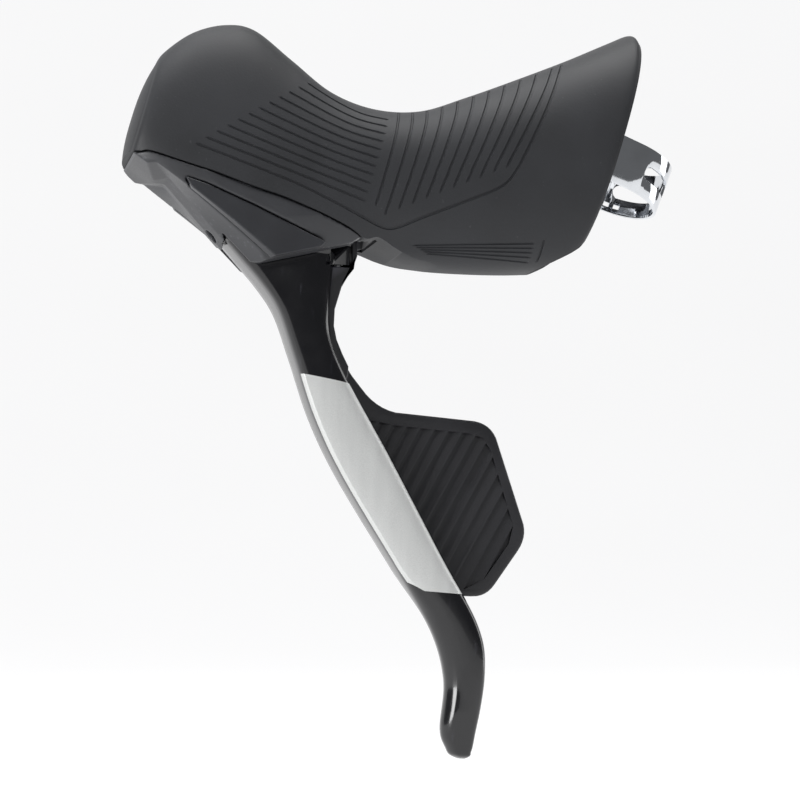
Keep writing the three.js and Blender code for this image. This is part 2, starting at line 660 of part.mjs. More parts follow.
function addCylinder() {
  const { x, radius, top } = BORE;
  const axis = [x, 0, 0];
  const above = [x, 0, 1];
  const slim = radius - 0.3;
  addPart('brake_piston', 'alloy', turned([
    [0, -0.9], [slim, -0.9], [slim, 1.2], [3.3, 1.2], [3.3, 3.1], [slim, 3.1], [slim, 6.3],
    [2.4, 6.3], [2.4, 8.6], [0, 8.6],
  ], axis, above, 22));
  addPart('secondary_seal', 'seal', turned(ring(3.65, radius - 0.1, 1.5, 2.8), axis, above, 22));
  addPart('primary_seal', 'seal', turned(
    [[2.75, 6.65], [slim, 6.65], [radius - 0.1, 8.2], [4.2, 8.2], [3.6, 7.5], [2.75, 7.5], [2.75, 6.65]],
    axis, above, 22,
  ));
  addPart('piston_spring', 'steel', coil({
    radius: 3.6, wire: 0.4, turns: 4.5, length: 9.9, from: [x, 0, 8.8], to: [x, 0, 20],
  }));
  addPart('pushrod', 'steel', turned([
    [0, -6.7], [1.2, -6.4], [1.6, -5.6], [1.6, -1.6], [2.2, -1.25], [0, -1.25],
  ], axis, above, 16));
  addPart('cylinder_snap_ring', 'steel', turned(ring(2.9, radius + 0.5, -2.1, -1.5), axis, above, 22));
  const plug = turned([
    [1.7, top + GAP], [PLUG_RADIUS, top + GAP], [PLUG_RADIUS, top + 2.5], [PLUG_RADIUS - 2, top + 3.2],
    [1.7, top + 3.2], [1.7, top + GAP],
  ], axis, above, 22);
  const groove = turned(ring(PLUG_RADIUS - 1.1, PLUG_RADIUS + 1, top + 1.1, top + 2.3), axis, above, 22);
  addPart('cylinder_plug', 'alloy', toGeometry(cut(toSolid(plug), groove)));
  addPart('cylinder_plug_seal', 'seal', torus(
    PLUG_RADIUS - 0.45, 0.4, [x, 0, top + 1.7], [x, 0, top + 3],
  ));
  const bleed = turned([[0, top + 0.6], [1.3, top + 0.6], [1.3, top + 3.55], [2.6, top + 3.55],
    [2.6, top + 5.2], [0, top + 5.2]], axis, above, 20);
  const socket = hexSocket([x, 0, top + 4.0], [x, 0, top + 7], 2);
  addPart('bleed_screw', 'steel', toGeometry(cut(toSolid(bleed), socket)));
}

function addHosePort() {
  const bodyNut = turned(ring(1.9, HOSE.nut, 0, 9), along(HOSE, 2), HOSE.front, 24);
  const hex = rod((HOSE.nut + 0.6) / Math.cos(Math.PI / 6), along(HOSE, -3), along(HOSE, 1.7), 6);
  const hole = rod(1.9, along(HOSE, -6), along(HOSE, 4), 24);
  const joined = toSolid(bodyNut).add(toSolid(hex).subtract(toSolid(hole)));
  const waist = toSolid(turned(ring(1.9, 2.9, 1.2, 2.6), HOSE.rear, HOSE.front, 24));
  addPart('hose_nut', 'steel', toGeometry(joined.add(waist)));
  addPart('hose_olive', 'brass', turned(
    [[1.9, 11.4], [2.5, 11.4], [3.0, 12.8], [2.5, 14.2], [1.9, 14.2], [1.9, 11.4]],
    HOSE.rear, HOSE.front, 20,
  ));
}

function addElectronics() {
  const { x, z, radius, thick } = BATTERY;
  const board = BOARD.y + BOARD.thick;
  const contact = board + GAP;
  const cell = contact + 0.3 + GAP;
  addPart('circuit_board', 'board', slab(boardOutline(0), BOARD.y, board));
  addPart('battery_contact', 'brass', block(x - 6, x + 6, contact, contact + 0.3, z - 2, z + 2));
  addPart('coin_battery', 'steel', turned([
    [0, 0], [radius - 0.6, 0], [radius, 0.7], [radius, thick - 0.3], [radius - 0.3, thick], [0, thick],
  ], [x, cell, z], [x, 30, z], 24));
  addPart('shift_sensor', 'seal', block(-74.5, -71.5, board + GAP, board + 1.3, -18, -14.8));
  addPart('function_switch', 'steel', block(
    BUTTON.x - 1.8, BUTTON.x + 1.8, contact, contact + 1.2, BUTTON.z - 1.8, BUTTON.z + 1.8,
  ));
  const press = contact + 1.2 + GAP;
  addPart('function_button', 'plastic', turned([
    [0, 0], [BUTTON.radius + 0.8, 0], [BUTTON.radius + 0.8, 1], [BUTTON.radius, 1],
    [BUTTON.radius, 4.9], [BUTTON.radius - 0.4, 5.3], [0, 5.3],
  ], [BUTTON.x, press, BUTTON.z], [BUTTON.x, 30, BUTTON.z], 20));
  addPart('light_pipe', 'clear', rod(
    LIGHT.radius, [LIGHT.x, contact, LIGHT.z], [LIGHT.x, COVER_FACE - 0.1, LIGHT.z], 14,
  ));
}

function addBatteryDoor() {
  const { x, z, radius } = BATTERY;
  const holes = doorScrews().map(([sx, sz]) => rod(1.3, [sx, 7, sz], [sx, 20, sz], 12));
  const disc = turned([[0, DOOR.y], [DOOR.radius, DOOR.y], [DOOR.radius, 20], [0, 20]],
    [x, 0, z], [x, 1, z], 24);
  const limited = toSolid(disc).intersect(toSolid(skin(RUBBER + 2 * GAP)));
  addPart('battery_gasket', 'seal', torus(radius + 0.95, 0.3, [x, DOOR.y - 0.65, z], [x, 30, z], 24));
  addPart('battery_door', 'plastic', toGeometry(cut(limited, ...holes)));
  doorScrews().forEach(([sx, sz], i) => {
    addPart(`battery_door_screw_${i + 1}`, 'steel', rod(0.95, [sx, 9, sz], [sx, DOOR.y + 0.3, sz], 12));
  });
}

function addBrakeLever() {
  const [px, pz] = PIVOT;
  const at = (y) => [px, y, pz];
  addPart('brake_lever_blade', 'gloss', brakeLeverBlade());
  addPart('pivot_pin', 'steel', turned([
    [0, 0], [PIN_RADIUS - GAP, 0], [PIN_RADIUS - GAP, 23.4], [1.5, 23.4], [1.5, 24.3],
    [PIN_RADIUS - GAP, 24.3], [PIN_RADIUS - GAP, 25.4], [0, 25.4],
  ], at(-12.7), at(20), 24));
  const sides = { outboard: -1, inboard: 1 };
  for (const [name, side] of Object.entries(sides)) {
    const away = at(side * 30);
    addPart(`lever_bushing_${name}`, 'brass', turned(
      ring(PIN_RADIUS, BUSHING_RADIUS, 0.3, 4.3), at(0), away, 24,
    ));
    addPart(`lever_return_spring_${name}`, 'steel', coil({
      radius: 3.7, wire: 0.28, turns: 2, length: 2.1, from: at(side * 4.75), to: away,
    }));
  }
  addPart('pushrod_barrel', 'steel', rod(2.5, [BORE.x, -5.9, -9.6], [BORE.x, 5.9, -9.6], 20));
  addPart('lever_badge', 'silver', leverBadge());
  addPart('reach_screw', 'steel', reachScrew());
}

function reachScrew() {
  const screw = rod(1.5, reachPoint(0), reachPoint(5), 14);
  return toGeometry(cut(toSolid(screw), hexSocket(reachPoint(3.4), reachPoint(8), 1.5)));
}

function addShiftPaddle() {
  addPart('shift_paddle', 'plastic', shiftPaddle());
  addPart('paddle_pin', 'steel', rod(PADDLE_PIN.radius, paddlePinPoint(6.2), paddlePinPoint(-5.8), 14));
  addPart('paddle_magnet', 'steel', rod(1.2, [-73.4, 2.95, -28.7], [-73.4, 4.4, -28.7], 14));
}

function addClamp() {
  addPart('clamp_band', 'chrome', clampBand());
  addPart('clamp_nut', 'steel', clampNut());
  addPart('clamp_bolt', 'steel', clampBolt());
}

addHousing();
addReservoir();
addCylinder();
addHosePort();
addElectronics();
addBatteryDoor();
addBrakeLever();
addShiftPaddle();
addClamp();

export default group;
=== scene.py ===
"""The looks of a left-hand brake shift lever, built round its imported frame.

Each piece has an operator of its own, and the panel in the 3D view's sidebar lists them.
Lengths inside the functions are millimetres in the frame's own axes: +X rearwards, +Y inboard,
+Z up, with the origin on the handlebar's axis.
"""

import json
import math

import bpy
import numpy as np
from mathutils import Matrix, Vector


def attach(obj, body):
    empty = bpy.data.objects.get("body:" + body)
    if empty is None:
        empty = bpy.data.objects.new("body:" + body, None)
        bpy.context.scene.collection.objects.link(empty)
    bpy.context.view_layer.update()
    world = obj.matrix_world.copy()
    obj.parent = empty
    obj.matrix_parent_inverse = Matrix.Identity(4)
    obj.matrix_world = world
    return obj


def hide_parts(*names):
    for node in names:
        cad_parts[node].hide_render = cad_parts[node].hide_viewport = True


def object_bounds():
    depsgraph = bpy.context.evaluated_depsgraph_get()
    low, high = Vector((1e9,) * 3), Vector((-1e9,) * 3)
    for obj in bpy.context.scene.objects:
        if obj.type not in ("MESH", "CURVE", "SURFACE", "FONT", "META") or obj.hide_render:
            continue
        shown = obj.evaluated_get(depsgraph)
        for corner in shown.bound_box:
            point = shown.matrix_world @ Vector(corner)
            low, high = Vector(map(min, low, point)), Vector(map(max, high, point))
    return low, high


bl_info = {
    "name": "Brake Shift Lever",
    "version": (1, 0, 0),
    "blender": (4, 5, 0),
    "location": "3D View > Sidebar > Shift Lever",
    "description": "Builds the visible pieces of a brake shift lever round its frame",
    "category": "Object",
}

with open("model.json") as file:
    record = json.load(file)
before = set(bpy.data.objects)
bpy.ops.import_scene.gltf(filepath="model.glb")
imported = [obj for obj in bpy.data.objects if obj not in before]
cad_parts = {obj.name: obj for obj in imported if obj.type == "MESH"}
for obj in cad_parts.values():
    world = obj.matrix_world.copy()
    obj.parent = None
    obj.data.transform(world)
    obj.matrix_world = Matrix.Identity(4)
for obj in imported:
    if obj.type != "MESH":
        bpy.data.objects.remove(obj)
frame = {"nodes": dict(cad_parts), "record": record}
CAD_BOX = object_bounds()
MM = 0.001

# ------------------------------------------------------------------ the lever's own dimensions

# Sections of the hood's skin from nose to cuff: top x, top z, foot x, foot z, half width, and
# how much wider the foot of the section is than its head.
SKIN = [
    (-121.0, 20.5, -127.9, -4.5, 11.0, 1.5),
    (-118.6, 24.2, -127.3, -8.5, 13.6, 2.0),
    (-111.6, 29.6, -122.0, -15.0, 15.4, 2.5),
    (-103.5, 32.2, -112.5, -23.0, 16.2, 3.0),
    (-96.2, 31.3, -103.5, -31.0, 16.5, 3.0),
    (-86.9, 24.3, -93.5, -33.0, 16.5, 2.5),
    (-77.0, 16.7, -82.0, -30.0, 16.5, 1.5),
    (-66.0, 12.9, -70.5, -26.0, 16.6, 0.5),
    (-54.2, 13.0, -58.8, -26.4, 17.6, 0.0),
    (-42.0, 17.3, -47.5, -27.0, 18.3, -0.5),
    (-29.0, 22.6, -36.5, -27.1, 19.2, -1.0),
    (-15.5, 28.4, -27.5, -26.8, 20.2, -1.0),
    (-4.0, 33.8, -19.4, -26.1, 21.0, -1.0),
    (1.4, 36.1, -15.8, -25.0, 21.3, -1.0),
    (3.2, 34.4, -14.2, -23.4, 21.0, -1.0),
]
SQUARENESS = 0.8  # 1 is an ellipse, smaller is boxier
RUBBER_EDGE = [
    (-130.4, -1.4), (-127.0, -2.4), (-125.2, -2.9), (-122.9, -2.9), (-115.6, -5.3),
    (-107.6, -7.7), (-98.2, -10.9), (-89.4, -13.5), (-75.6, -18.9), (-70.0, -21.7),
]
# Carries the hood's edge on under the hood, behind the paddle's arm.
HEEL_EDGE = [(-66.6, -21.4), (-62.0, -23.5), (-57.0, -25.3), (-50.0, -26.6), (-42.0, -30.0)]
# Where the hood is solid rubber, so that its edge under the paddle's arm shows no hollow.
SOLID_HEEL = [(-66.0, -18.8), (-52.0, -21.6), (-52.0, -40.0), (-66.0, -40.0)]
FRONT_UNDERSIDE = [
    (-71.4, -21.6), (-73.2, -22.9), (-95.4, -28.3), (-97.4, -28.0), (-102.4, -25.2),
    (-105.2, -23.3), (-107.7, -20.6), (-111.7, -14.8), (-115.5, -10.8), (-118.0, -9.3),
    (-121.0, -7.7), (-123.6, -5.7), (-125.6, -4.1),
]
GAP = 0.35
BAR_RADIUS = 12.0
BAR_TILT = 0.38
PIVOT = (-104.0, -11.0)  # the brake lever's axle, x and z
PIN_RADIUS = 2.6
REACH_HOLE = 1.9  # radius of the hole that the reach screw is turned through
BOARD_BAY = (30, 3.6, 9), (-80, 9.6, -20)  # size and middle of the circuit board's pocket
SLOT_HALF = 7.2
CHEEK = 13.2
COVER_FACE = 15.6
BLADE_HALF = 6.2
BUTTON = (-89.0, -23.1, 2.1)  # x, z, radius
LIGHT = (-84.0, -23.6, 0.8)
PADDLE_MIDDLE = 3.1
PADDLE_HALF = 1.5
PADDLE_PIN = (-73.8, -24.5)  # x and z
PADDLE_PIN_RADIUS, PADDLE_PIN_LEAN = 1.1, 0.2
BAND_THICK, BAND_WIDTH, BAND_REACH = 0.8, 12.4, 17.5
BOLT_RADIUS = 2.5


# ------------------------------------------------------------------ settings


class LeverSizes(bpy.types.PropertyGroup):
    """Sizes that a user may change."""

    rubber: bpy.props.FloatProperty(
        name="Rubber wall", description="Wall of the hood", default=2.3 * MM, unit="LENGTH")
    groove: bpy.props.FloatProperty(
        name="Groove", description="Half width and depth of the hood's grip grooves",
        default=0.36 * MM, unit="LENGTH")
    rib_pitch: bpy.props.FloatProperty(
        name="Rib pitch", description="Distance from one paddle rib to the next",
        default=3.3 * MM, unit="LENGTH")
    rib_depth: bpy.props.FloatProperty(
        name="Rib depth", description="Depth of the paddle's ribs", default=1.05 * MM, unit="LENGTH")
    moulding: bpy.props.FloatProperty(
        name="Moulding grain", description="Finest step of the moulded housing's surface",
        default=0.3 * MM, unit="LENGTH")


class LeverColours(bpy.types.PropertyGroup):
    """Colours that a user may change."""

    rubber: bpy.props.FloatVectorProperty(
        name="Rubber", description="The hood", subtype="COLOR", default=(0.021, 0.022, 0.025))
    housing: bpy.props.FloatVectorProperty(
        name="Housing", description="Hard front of the body", subtype="COLOR",
        default=(0.030, 0.031, 0.035))
    trim: bpy.props.FloatVectorProperty(
        name="Trim", description="Side panels and button", subtype="COLOR",
        default=(0.022, 0.023, 0.027))
    paddle: bpy.props.FloatVectorProperty(
        name="Paddle", description="Shift paddle", subtype="COLOR", default=(0.017, 0.017, 0.020))
    lever: bpy.props.FloatVectorProperty(
        name="Lever", description="Lacquered lever blade", subtype="COLOR",
        default=(0.0045, 0.0045, 0.006))
    badge: bpy.props.FloatVectorProperty(
        name="Badge", description="Satin band on the lever", subtype="COLOR",
        default=(0.68, 0.69, 0.68))


# ------------------------------------------------------------------ shader expressions


class Value:
    """A node's output that can stand in a Python expression."""

    def __init__(self, finish, socket):
        self.finish = finish
        self.socket = socket

    def _maths(self, operation, *operands):
        inputs = {i: operand for i, operand in enumerate(operands)}
        return self.finish.node("ShaderNodeMath", {"operation": operation}, inputs)

    def __add__(self, other):
        return self._maths("ADD", self, other)

    def __sub__(self, other):
        return self._maths("SUBTRACT", self, other)

    def __rsub__(self, other):
        return self._maths("SUBTRACT", other, self)

    def __mul__(self, other):
        return self._maths("MULTIPLY", self, other)

    __radd__ = __add__
    __rmul__ = __mul__


class Finish:
    """One material: its nodes are added by node(), and surface() sets the shader."""

    def __init__(self, name):
        plain = bpy.data.materials.get(name)
        if plain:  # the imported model's own colour steps aside
            plain.name = f"{name}_plain"
        self.material = bpy.data.materials.new(name)
        self.material.use_nodes = True
        self.tree = self.material.node_tree
        self.shader = self.tree.nodes["Principled BSDF"]

    def node(self, kind, settings=None, inputs=None, output=0):
        """Adds a node: its settings first, then the values or links of its sockets."""
        node = self.tree.nodes.new(kind)
        for key, value in (settings or {}).items():
            setattr(node, key, value)
        for key, value in (inputs or {}).items():
            self.feed(node.inputs[key], value)
        return Value(self, node.outputs[output])

    def feed(self, socket, value):
        if isinstance(value, Value):
            self.tree.links.new(value.socket, socket)
        else:
            socket.default_value = value

    def place(self):
        """Object coordinates, which are the frame's own, in metres."""
        return self.node("ShaderNodeTexCoord", output="Object")

    def noise(self, per_mm, detail=3.0, stretch=(1.0, 1.0, 1.0)):
        scaled = self.node("ShaderNodeMapping", None, {"Vector": self.place(), "Scale": stretch})
        inputs = {"Vector": scaled, "Scale": per_mm / MM, "Detail": detail}
        return self.node("ShaderNodeTexNoise", None, inputs, "Fac")

    def cells(self, per_mm):
        inputs = {"Vector": self.place(), "Scale": per_mm / MM}
        return self.node("ShaderNodeTexVoronoi", None, inputs, "Distance")

    def between(self, value, low, high, dark=0.0, light=1.0):
        """The value's range low..high stretched to dark..light, and held there."""
        inputs = {0: value, 1: low, 2: high, 3: dark, 4: light}
        return self.node("ShaderNodeMapRange", {"clamp": True}, inputs)

    def blend(self, mask, dark, light):
        settings = {"data_type": "RGBA"}
        inputs = {0: mask, 6: (*dark, 1.0), 7: (*light, 1.0)}
        return self.node("ShaderNodeMix", settings, inputs, 2)

    def bump(self, height, distance, strength=1.0):
        """A bump whose height of 1 stands a distance in millimetres off the surface."""
        inputs = {"Height": height, "Distance": distance * MM, "Strength": strength}
        return self.node("ShaderNodeBump", None, inputs)

    def worn_edge_highlight(self, sharp=0.62, soft=0.54):
        """1 on convex edges, where handling polishes a moulded surface; it also paints a highlight on
        them.
        """
        pointy = self.node("ShaderNodeNewGeometry", output="Pointiness")
        return self.between(pointy, soft, sharp)

    def surface(self, **sockets):
        for name, value in sockets.items():
            self.feed(self.shader.inputs[name.replace("_", " ")], value)
        return self.material


def tinted(colour, factor):
    return tuple(min(1.0, channel * factor) for channel in colour)


def rubber_finish(colour):
    """Moulded rubber: a fine leathery grain with faint handling marks."""
    finish = Finish("hood_rubber")
    clouds = finish.noise(0.045, 4.0)
    grain = finish.noise(2.6, 2.0)
    pores = finish.cells(1.5)
    dust = finish.between(finish.noise(0.9, 1.0), 0.74, 0.80)
    height = grain * 0.6 + pores * 0.5
    tone = finish.blend(finish.between(clouds, 0.35, 0.68), tinted(colour, 0.86), tinted(colour, 1.25))
    dusted = finish.node("ShaderNodeMix", {"data_type": "RGBA"}, {
        0: dust * 0.10, 6: tone, 7: (0.16, 0.16, 0.17, 1.0)}, 2)
    return finish.surface(
        Base_Color=dusted, Roughness=finish.between(clouds + grain * 0.3, 0.4, 0.9, 0.52, 0.66),
        Normal=finish.bump(height, 0.045, 0.55), Specular_IOR_Level=0.42,
    )


def moulded_finish(name, colour, roughness, grain_depth=0.02, edge=1.9):
    """Glass-filled moulded plastic: spark-eroded grain, with its edges lighter, partly as wear and
    partly as a painted highlight.
    """
    finish = Finish(name)
    grain = finish.noise(3.4, 2.0)
    clouds = finish.noise(0.07, 3.0)
    edges = finish.worn_edge_highlight()
    body = finish.blend(finish.between(clouds, 0.35, 0.65), tinted(colour, 0.88), tinted(colour, 1.14))
    # Lightens the edges: partly wear, partly a painted highlight, scaled by the edge factor.
    worn_and_highlit = finish.node("ShaderNodeMix", {"data_type": "RGBA"}, {
        0: edges * 0.8, 6: body, 7: (*tinted(colour, edge), 1.0)}, 2)
    return finish.surface(
        Base_Color=worn_and_highlit,
        Roughness=finish.between(grain + clouds, 0.7, 1.3, roughness - 0.06, roughness + 0.08),
        Normal=finish.bump(grain, grain_depth, 0.6),
    )


def lacquer_finish(colour):
    """Black lacquer over the lever: almost a mirror, with fine flow and small scuffs."""
    finish = Finish("lever_gloss")
    flow = finish.noise(0.16, 2.0)
    scuffs = finish.between(finish.noise(0.8, 6.0, (1.0, 1.0, 0.16)), 0.62, 0.72)
    return finish.surface(
        Base_Color=finish.blend(scuffs, colour, tinted(colour, 3.0)),
        Roughness=finish.between(scuffs * 0.5 + flow, 0.35, 1.1, 0.15, 0.30),
        Normal=finish.bump(flow, 0.05, 0.25), Coat_Weight=0.5, Coat_Roughness=0.06,
    )


def badge_finish(colour):
    """Satin silver band: metal flake under a dull clear coat."""
    finish = Finish("badge_silver")
    flake = finish.noise(5.0, 2.0)
    brushed = finish.noise(0.5, 4.0, (1.0, 1.0, 0.1))
    tone = finish.blend(finish.between(flake + brushed * 0.4, 0.5, 0.9), tinted(colour, 0.93),
                        tinted(colour, 1.06))
    return finish.surface(
        Base_Color=tone, Metallic=0.35, Roughness=finish.between(brushed, 0.3, 0.7, 0.36, 0.46),
        Normal=finish.bump(flake, 0.008, 0.5),
    )


def metal_finish(name, colour, roughness, scratch=0.5, lay=(1.0, 1.0, 1.0)):
    """Turned or plated metal with fine scratches and slight staining."""
    finish = Finish(name)
    scratches = finish.noise(1.6, 6.0, lay)
    stain = finish.noise(0.12, 3.0)
    tone = finish.blend(finish.between(stain, 0.4, 0.7), colour, tinted(colour, 0.86))
    high = roughness + 0.12 * scratch
    return finish.surface(
        Base_Color=tone, Metallic=1.0,
        Roughness=finish.between(scratches + stain * 0.4, 0.5, 0.9, roughness, high),
        Normal=finish.bump(scratches, 0.01 * scratch, 0.4),
    )


def soft_finish(name, colour, roughness):
    """Seal rubber and small moulded parts: dull, faintly mottled."""
    finish = Finish(name)
    mottle = finish.noise(0.6, 3.0)
    tone = finish.blend(finish.between(mottle, 0.35, 0.65), tinted(colour, 0.8), tinted(colour, 1.25))
    return finish.surface(
        Base_Color=tone, Roughness=finish.between(mottle, 0.3, 0.7, roughness - 0.08, roughness + 0.08),
        Normal=finish.bump(mottle, 0.02, 0.5),
    )


def board_finish():
    """Green solder mask with copper tracks under it."""
    finish = Finish("board_green")
    tracks = finish.between(finish.cells(0.9), 0.30, 0.34)
    return finish.surface(
        Base_Color=finish.blend(tracks, (0.010, 0.085, 0.035), (0.028, 0.160, 0.060)),
        Roughness=finish.between(tracks, 0.0, 1.0, 0.34, 0.48),
        Normal=finish.bump(tracks, 0.03, 0.6),
    )


def lens_finish():
    """Frosted light pipe."""
    finish = Finish("clear_lens")
    haze = finish.noise(1.2, 3.0)
    return finish.surface(
        Base_Color=finish.blend(haze, (0.72, 0.78, 0.75), (0.86, 0.90, 0.88)),
        Roughness=finish.between(haze, 0.3, 0.7, 0.12, 0.30), Transmission_Weight=0.5,
    )


def all_finishes(colours):
    plain = [
        rubber_finish(colours.rubber),
        moulded_finish("housing_plastic", tuple(colours.housing), 0.40),
        moulded_finish("trim_plastic", tuple(colours.trim), 0.34, 0.012),
        # The paddle's edge factor of 6 gives its edges a strong painted highlight, which lifts the
        # ribs.
        moulded_finish("paddle_plastic", tuple(colours.paddle), 0.42, 0.02, 6.0),
        lacquer_finish(tuple(colours.lever)),
        badge_finish(tuple(colours.badge)),
        metal_finish("band_chrome", (0.80, 0.82, 0.85), 0.05, 0.35),
        metal_finish("steel", (0.45, 0.46, 0.48), 0.26, 0.8),
        metal_finish("brass", (0.56, 0.40, 0.16), 0.28, 0.8),
        metal_finish("alloy", (0.60, 0.62, 0.65), 0.32, 0.8),
        soft_finish("seal_rubber", (0.014, 0.014, 0.015), 0.62),
        soft_finish("sensor_black", (0.012, 0.012, 0.014), 0.45),
        board_finish(),
        lens_finish(),
    ]
    return {material.name: material for material in plain}


# ------------------------------------------------------------------ modelling tools


def only(piece):
    """Selects one piece alone and makes it the active one."""
    bpy.ops.object.select_all(action="DESELECT")
    piece.select_set(True)
    bpy.context.view_layer.objects.active = piece


def new_piece(name, points, faces):
    """A mesh object from points in millimetres."""
    mesh = bpy.data.meshes.new(name)
    mesh.from_pydata([Vector(point) * MM for point in points], [], [list(face) for face in faces])
    piece = bpy.data.objects.new(name, mesh)
    bpy.context.collection.objects.link(piece)
    return piece


def edit(piece, *steps):
    """Runs edit-mode steps on the whole of a piece's mesh."""
    only(piece)
    bpy.ops.object.mode_set(mode="EDIT")
    bpy.ops.mesh.select_all(action="SELECT")
    for step in steps:
        step()
    bpy.ops.object.mode_set(mode="OBJECT")
    return piece


def face_outwards():
    bpy.ops.mesh.select_all(action="SELECT")
    bpy.ops.mesh.normals_make_consistent(inside=False)


def merge_doubles():
    bpy.ops.mesh.remove_doubles(threshold=0.002 * MM)


def modify(piece, kind, **settings):
    """Adds a modifier and applies it."""
    modifier = piece.modifiers.new(kind.title(), kind)
    for key, value in settings.items():
        setattr(modifier, key, value)
    only(piece)
    bpy.ops.object.modifier_apply(modifier=modifier.name)
    return piece


def combine(piece, operation, *tools):
    """Cuts, joins or keeps a piece's common part with each tool, and removes the tools."""
    for tool in tools:
        modify(piece, "BOOLEAN", object=tool, operation=operation, solver="MANIFOLD")
        bpy.data.objects.remove(tool)
    if not piece.data.polygons:
        raise RuntimeError(f"{piece.name}: nothing is left after {operation}")
    return piece


def cut(piece, *tools):
    return combine(piece, "DIFFERENCE", *tools)


def slab(name, outline, low, high):
    """An outline of (x, z) points given thickness from y = low to y = high."""
    def thicken():
        step = {"value": (0, (high - low) * MM, 0)}
        bpy.ops.mesh.extrude_region_move(TRANSFORM_OT_translate=step)
    piece = new_piece(name, [(x, low, z) for x, z in outline], [range(len(outline))])
    return edit(piece, thicken, face_outwards)


def rod(radius, start, end, sides=32):
    """A cylinder from one point to another, as a cutting tool."""
    start, end = Vector(start), Vector(end)
    turn = (end - start).to_track_quat("Z", "Y").to_euler()
    only_nothing()
    bpy.ops.mesh.primitive_cylinder_add(
        vertices=sides, radius=radius * MM, depth=(end - start).length * MM,
        location=(start + end) / 2 * MM, rotation=turn)
    return settled(bpy.context.object)


def block(size, place, basis=Matrix.Identity(3)):
    """A box of some size about a point, turned by a 3 x 3 matrix, as a cutting tool."""
    only_nothing()
    bpy.ops.mesh.primitive_cube_add(
        size=1, location=Vector(place) * MM, rotation=basis.to_euler())
    bpy.context.object.scale = Vector(size) * MM
    return settled(bpy.context.object)


def only_nothing():
    bpy.ops.object.select_all(action="DESELECT")


def settled(piece):
    """Puts a piece's place into its mesh."""
    only(piece)
    bpy.ops.object.transform_apply(location=True, rotation=True, scale=True)
    return piece


def smooth(points, steps):
    """Points along a Catmull-Rom curve, with some steps to each stretch."""
    known = np.array(points, float)
    known = np.vstack([2 * known[0] - known[1], known, 2 * known[-1] - known[-2]])
    path = []
    for a, b, c, d in zip(known, known[1:], known[2:], known[3:]):
        for t in np.arange(steps) / steps:
            path.append(0.5 * (2 * b + (c - a) * t + (2 * a - 5 * b + 4 * c - d) * t * t
                               + (3 * b - a - 3 * c + d) * t ** 3))
    return np.array(path + [known[-2]])


def even(path, count):
    """The same path with its points evenly spaced."""
    far = np.concatenate([[0], np.cumsum(np.linalg.norm(np.diff(path, axis=0), axis=1))])
    places = np.linspace(0, far[-1], count)
    return np.stack([np.interp(places, far, path[:, k]) for k in range(path.shape[1])], 1)


def lofted(name, rings):
    """A closed solid through rings of points, with its ends closed on their middles."""
    rings = np.array(rings)
    rows, sides, _ = rings.shape
    points = [*rings.reshape(-1, 3), rings[0].mean(0), rings[-1].mean(0)]
    faces = []
    for side in range(sides):
        after = (side + 1) % sides
        for row in range(rows - 1):
            here, there = row * sides, (row + 1) * sides
            faces.append((here + side, here + after, there + after, there + side))
        last = (rows - 1) * sides
        faces.append((rows * sides, after, side))
        faces.append((rows * sides + 1, last + side, last + after))
    return edit(new_piece(name, points, faces), face_outwards)


def rounded(piece, angle=35.0):
    """Smooth shading with the edges sharper than an angle kept crisp."""
    only(piece)
    bpy.ops.object.shade_smooth_by_angle(angle=math.radians(angle))
    return piece


def moulded(piece, grain, relax=6):
    """Remeshes a cut solid and relaxes it, which rounds its edges as a mould does."""
    modify(piece, "REMESH", mode="VOXEL", voxel_size=grain, use_smooth_shade=True)
    modify(piece, "SMOOTH", factor=0.5, iterations=relax)
    return piece


def copied(node, name):
    """A merged copy of a CAD node's mesh."""
    piece = bpy.data.objects.new(name, frame["nodes"][node].data.copy())
    piece.data.materials.clear()
    bpy.context.collection.objects.link(piece)
    return edit(piece, merge_doubles)


def hand_over(piece, body, slot, *nodes):
    """A finished piece: its finish, its body, and the nodes that it stands for."""
    piece.data.materials.clear()
    piece.data.materials.append(bpy.data.materials[slot])
    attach(piece, body)
    if nodes:
        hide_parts(*nodes)


# ------------------------------------------------------------------ the hood's skin


STATION_STEPS = 16
STATIONS = smooth(SKIN, STATION_STEPS)
LAST_STATION = len(SKIN) - 1


def station(t):
    """The section at a place t along the skin, 0 at the nose."""
    rows = np.arange(len(STATIONS)) / STATION_STEPS
    return [np.interp(t, rows, STATIONS[:, k]) for k in range(STATIONS.shape[1])]


def skin_point(t, turn, inset=0.0, spread=1.0):
    """A point of the skin: its place along, its turn from the top, and how far inwards."""
    top_x, top_z, foot_x, foot_z, half, foot = station(t)
    up = math.copysign(abs(math.cos(turn)) ** SQUARENESS, math.cos(turn))
    side = math.copysign(abs(math.sin(turn)) ** SQUARENESS, math.sin(turn))
    shrink = 1 - 2 * inset / math.hypot(top_x - foot_x, top_z - foot_z)
    rise = up * spread * shrink / 2
    width = half - inset - foot * up / 2
    forward = inset * max(0.0, 1 - t / 4)
    return Vector((
        (top_x + foot_x) / 2 + (top_x - foot_x) * rise + forward,
        side * spread * width,
        (top_z + foot_z) / 2 + (top_z - foot_z) * rise,
    ))


